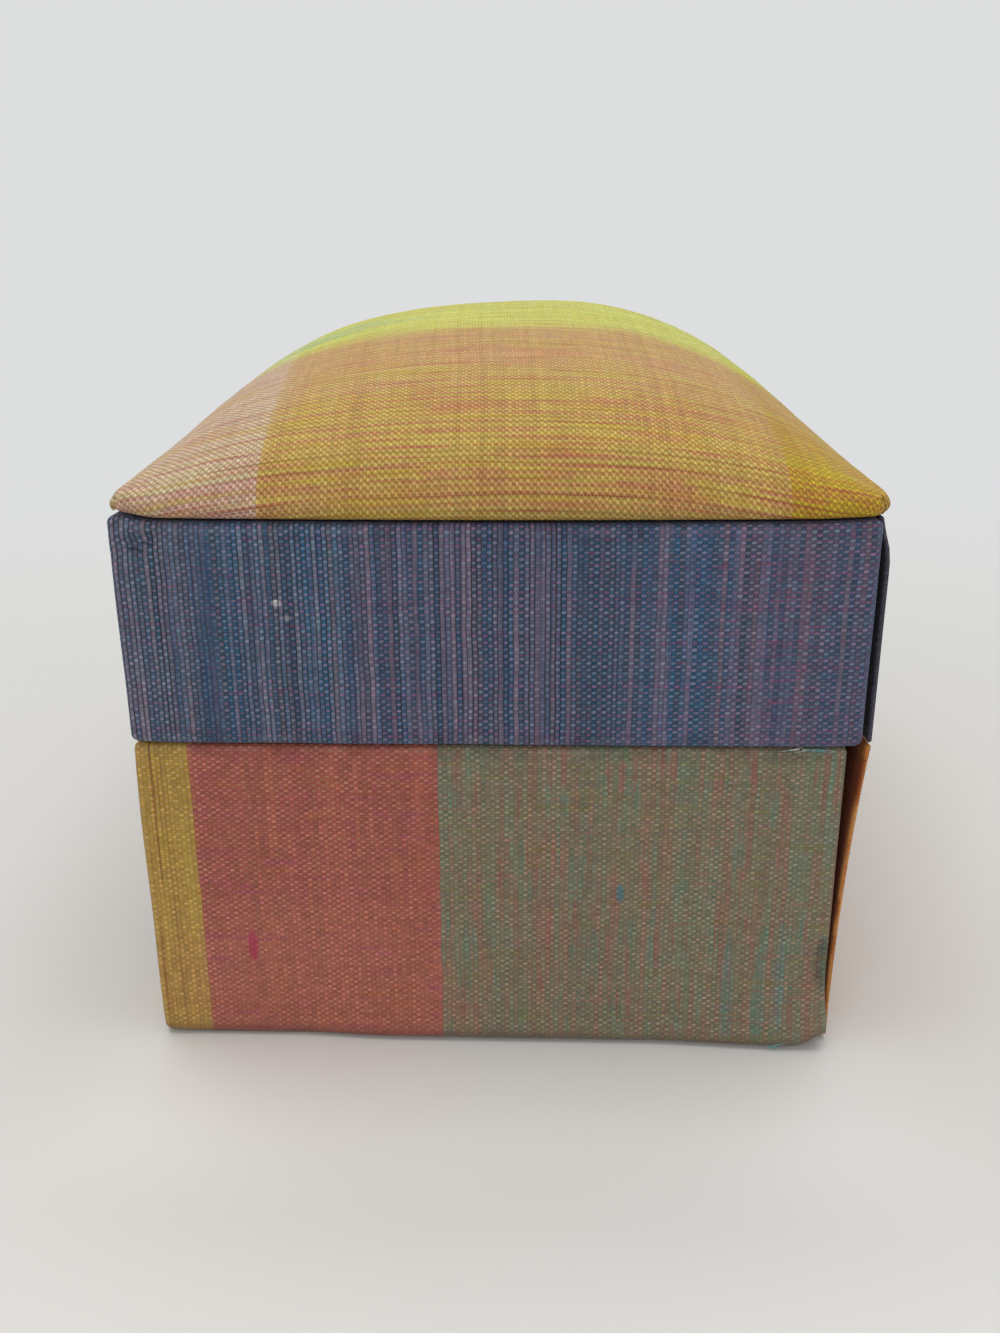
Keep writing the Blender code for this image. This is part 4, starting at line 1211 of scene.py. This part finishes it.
paleFloss = fibreMaterial("pale floss", dye(96, 168, 172), dye(222, 226, 226))
buildThreads("jointTuft", threadSize["tuft"], threadSize, paleFloss, 3)
tealFloss = fibreMaterial("teal floss", dye(60, 140, 150), dye(112, 176, 174))
buildThreads("looseEnd", threadSize["loose"], threadSize, tealFloss, 5)
print("loose threads made")


# Stage, light and camera

stageSize = dict(
    floorBack=1.6, wallRadius=0.6, wallHigh=2.2, halfWide=9, front=-9, paleAhead=0.078,
    paleWide=(0.066, 0.034), paleDeep=(0.024, 0.004), pale=0.4, evenTone=(0.14, 0.42))
roomLight, skyTone = dict(colour=(1, 0.99, 0.98, 1), strength=0.52), dye(221, 222, 223)


def directly(tree):
    # 1 for what the camera sees, be it in a mirror or through glass
    rays = addNode(tree, "LightPath", 0).socket.node.outputs
    seen = [Wire(rays["Is " + kind + " Ray"]) for kind in ("Camera", "Glossy", "Transmission")]
    return maths("MAXIMUM", seen[0], maths("MAXIMUM", *seen[1:]))


def mixShaders(tree, share, first, second, output):
    # the surface is the first shader where the share is 0 and the second where it is 1
    both = addNode(tree, "MixShader", 0, {0: share, 1: first, 2: second})
    feed(tree.nodes[output].inputs["Surface"], both)


def buildBackdrop(look):
    # a sweep: flat floor, a quarter round, then an upright wall, carried across the width
    angle, radius, back = np.linspace(0, quarterTurn, 25), look["wallRadius"], look["floorBack"]
    curve = together(back + radius * np.sin(angle), radius * (1 - np.cos(angle)))
    floor = np.linspace([look["front"], 0], [back, 0], 12)[:-1]
    wall = np.linspace([back + radius, radius], [back + radius, look["wallHigh"]], 4)[1:]
    profile = np.vstack([floor, curve, wall])
    points = together(np.linspace(-look["halfWide"], look["halfWide"], 9), profile[:, :1], profile[:, 1:])
    material, sockets, tree = newMaterial("pale backdrop", {"Roughness": 0.9, "Specular IOR Level": 0.2})
    place = addNode(tree, "TexCoord", "Object")
    x, y, _ = axes(place)
    # painted light and shade: the paper's tone is paler at the front, darkest around the box and a little
    # paler again behind it
    depth = noise(place, 25, 3) * 0.01 + fade(y, -0.2, 0.9)
    colour = colourRamp(depth, [
        (0, dye(222, 221, 218)), (0.06, dye(212, 211, 208)), (0.17, dye(208, 208, 206)),
        (0.45, dye(212, 213, 213)), (1, dye(212, 213, 214))], "LINEAR")
    # painted light: the paper is paler just before the box, to lift the shade the box casts there
    beside, ahead = maths("ABSOLUTE", x), maths("ABSOLUTE", y + look["paleAhead"])
    pale = fade(beside, *look["paleWide"]) * fade(ahead, *look["paleDeep"])
    feed(sockets["Base Color"], blendColours(pale * look["pale"], colour, dye(252, 251, 248)))
    # far from the object the paper shows the camera one even tone, whatever light reaches it
    glow = addNode(tree, "Emission", 0, {"Color": skyTone, "Strength": 1})
    away = fade(vectorMaths("LENGTH", place), *look["evenTone"])
    paper = Wire(tree.nodes["Principled BSDF"].outputs["BSDF"])
    mixShaders(tree, directly(tree) * away, paper, glow, "Material Output")
    makeGrid("backdrop", points, np.zeros((*points.shape[:2], 2)), material)


def addLamp(name, place, size, power, colour, glossy=True):
    # a soft light that looks at the middle of the box
    lamp = bpy.data.lights.new(name, "AREA")
    lamp.shape = "RECTANGLE"
    lamp.size, lamp.size_y = size
    lamp.energy = power
    lamp.color = colour
    holder = bpy.data.objects.new(name, lamp)
    holder.location = place
    x, y, z = np.array(place) - (0, 0, 0.05)
    holder.rotation_euler = (math.atan2(math.hypot(x, y), z), 0, math.atan2(x, -y))
    holder.visible_glossy = glossy
    bpy.context.scene.collection.objects.link(holder)


def buildWorld(look):
    # pale light from all sides, which the camera sees as one even tone
    world = bpy.data.worlds.new("studio")
    bpy.context.scene.world = world
    world.use_nodes = True
    tree = world.node_tree
    light = tree.nodes["Background"]
    light.inputs["Color"].default_value = look["colour"]
    light.inputs["Strength"].default_value = look["strength"]
    seen = addNode(tree, "Background", 0, {"Color": skyTone, "Strength": 1})
    mixShaders(tree, directly(tree), Wire(light.outputs[0]), seen, "World Output")


cameraLook = dict(place=(4.74, -202.1, 99.8), down=0.3315, roll=0.0055, turn=0.0318, lens=42.87)


def buildCamera(look):
    camera = bpy.data.objects.new("camera", bpy.data.cameras.new("camera"))
    camera.location = [c * mm for c in look["place"]]
    camera.rotation_euler = (quarterTurn - look["down"], look["roll"], look["turn"])
    camera.data.lens = look["lens"]
    camera.data.sensor_width = 36
    camera.data.sensor_fit = "HORIZONTAL"
    camera.data.clip_start = 0.005
    bpy.context.scene.collection.objects.link(camera)
    bpy.context.scene.camera = camera


buildBackdrop(stageSize)
# a mirror shows the pale room, not the lamp overhead
addLamp("overhead", (-0.02, 0.2, 1.1), (1.2, 1), 9.4, (1, 0.993, 0.98), glossy=False)
addLamp("front fill", (-0.3, -1.15, 0.7), (0.9, 0.7), 3.12, (1, 0.985, 0.97))
buildWorld(roomLight)
buildCamera(cameraLook)
bpy.context.scene.view_settings.view_transform = "Standard"
print("stage, lamps and camera placed")
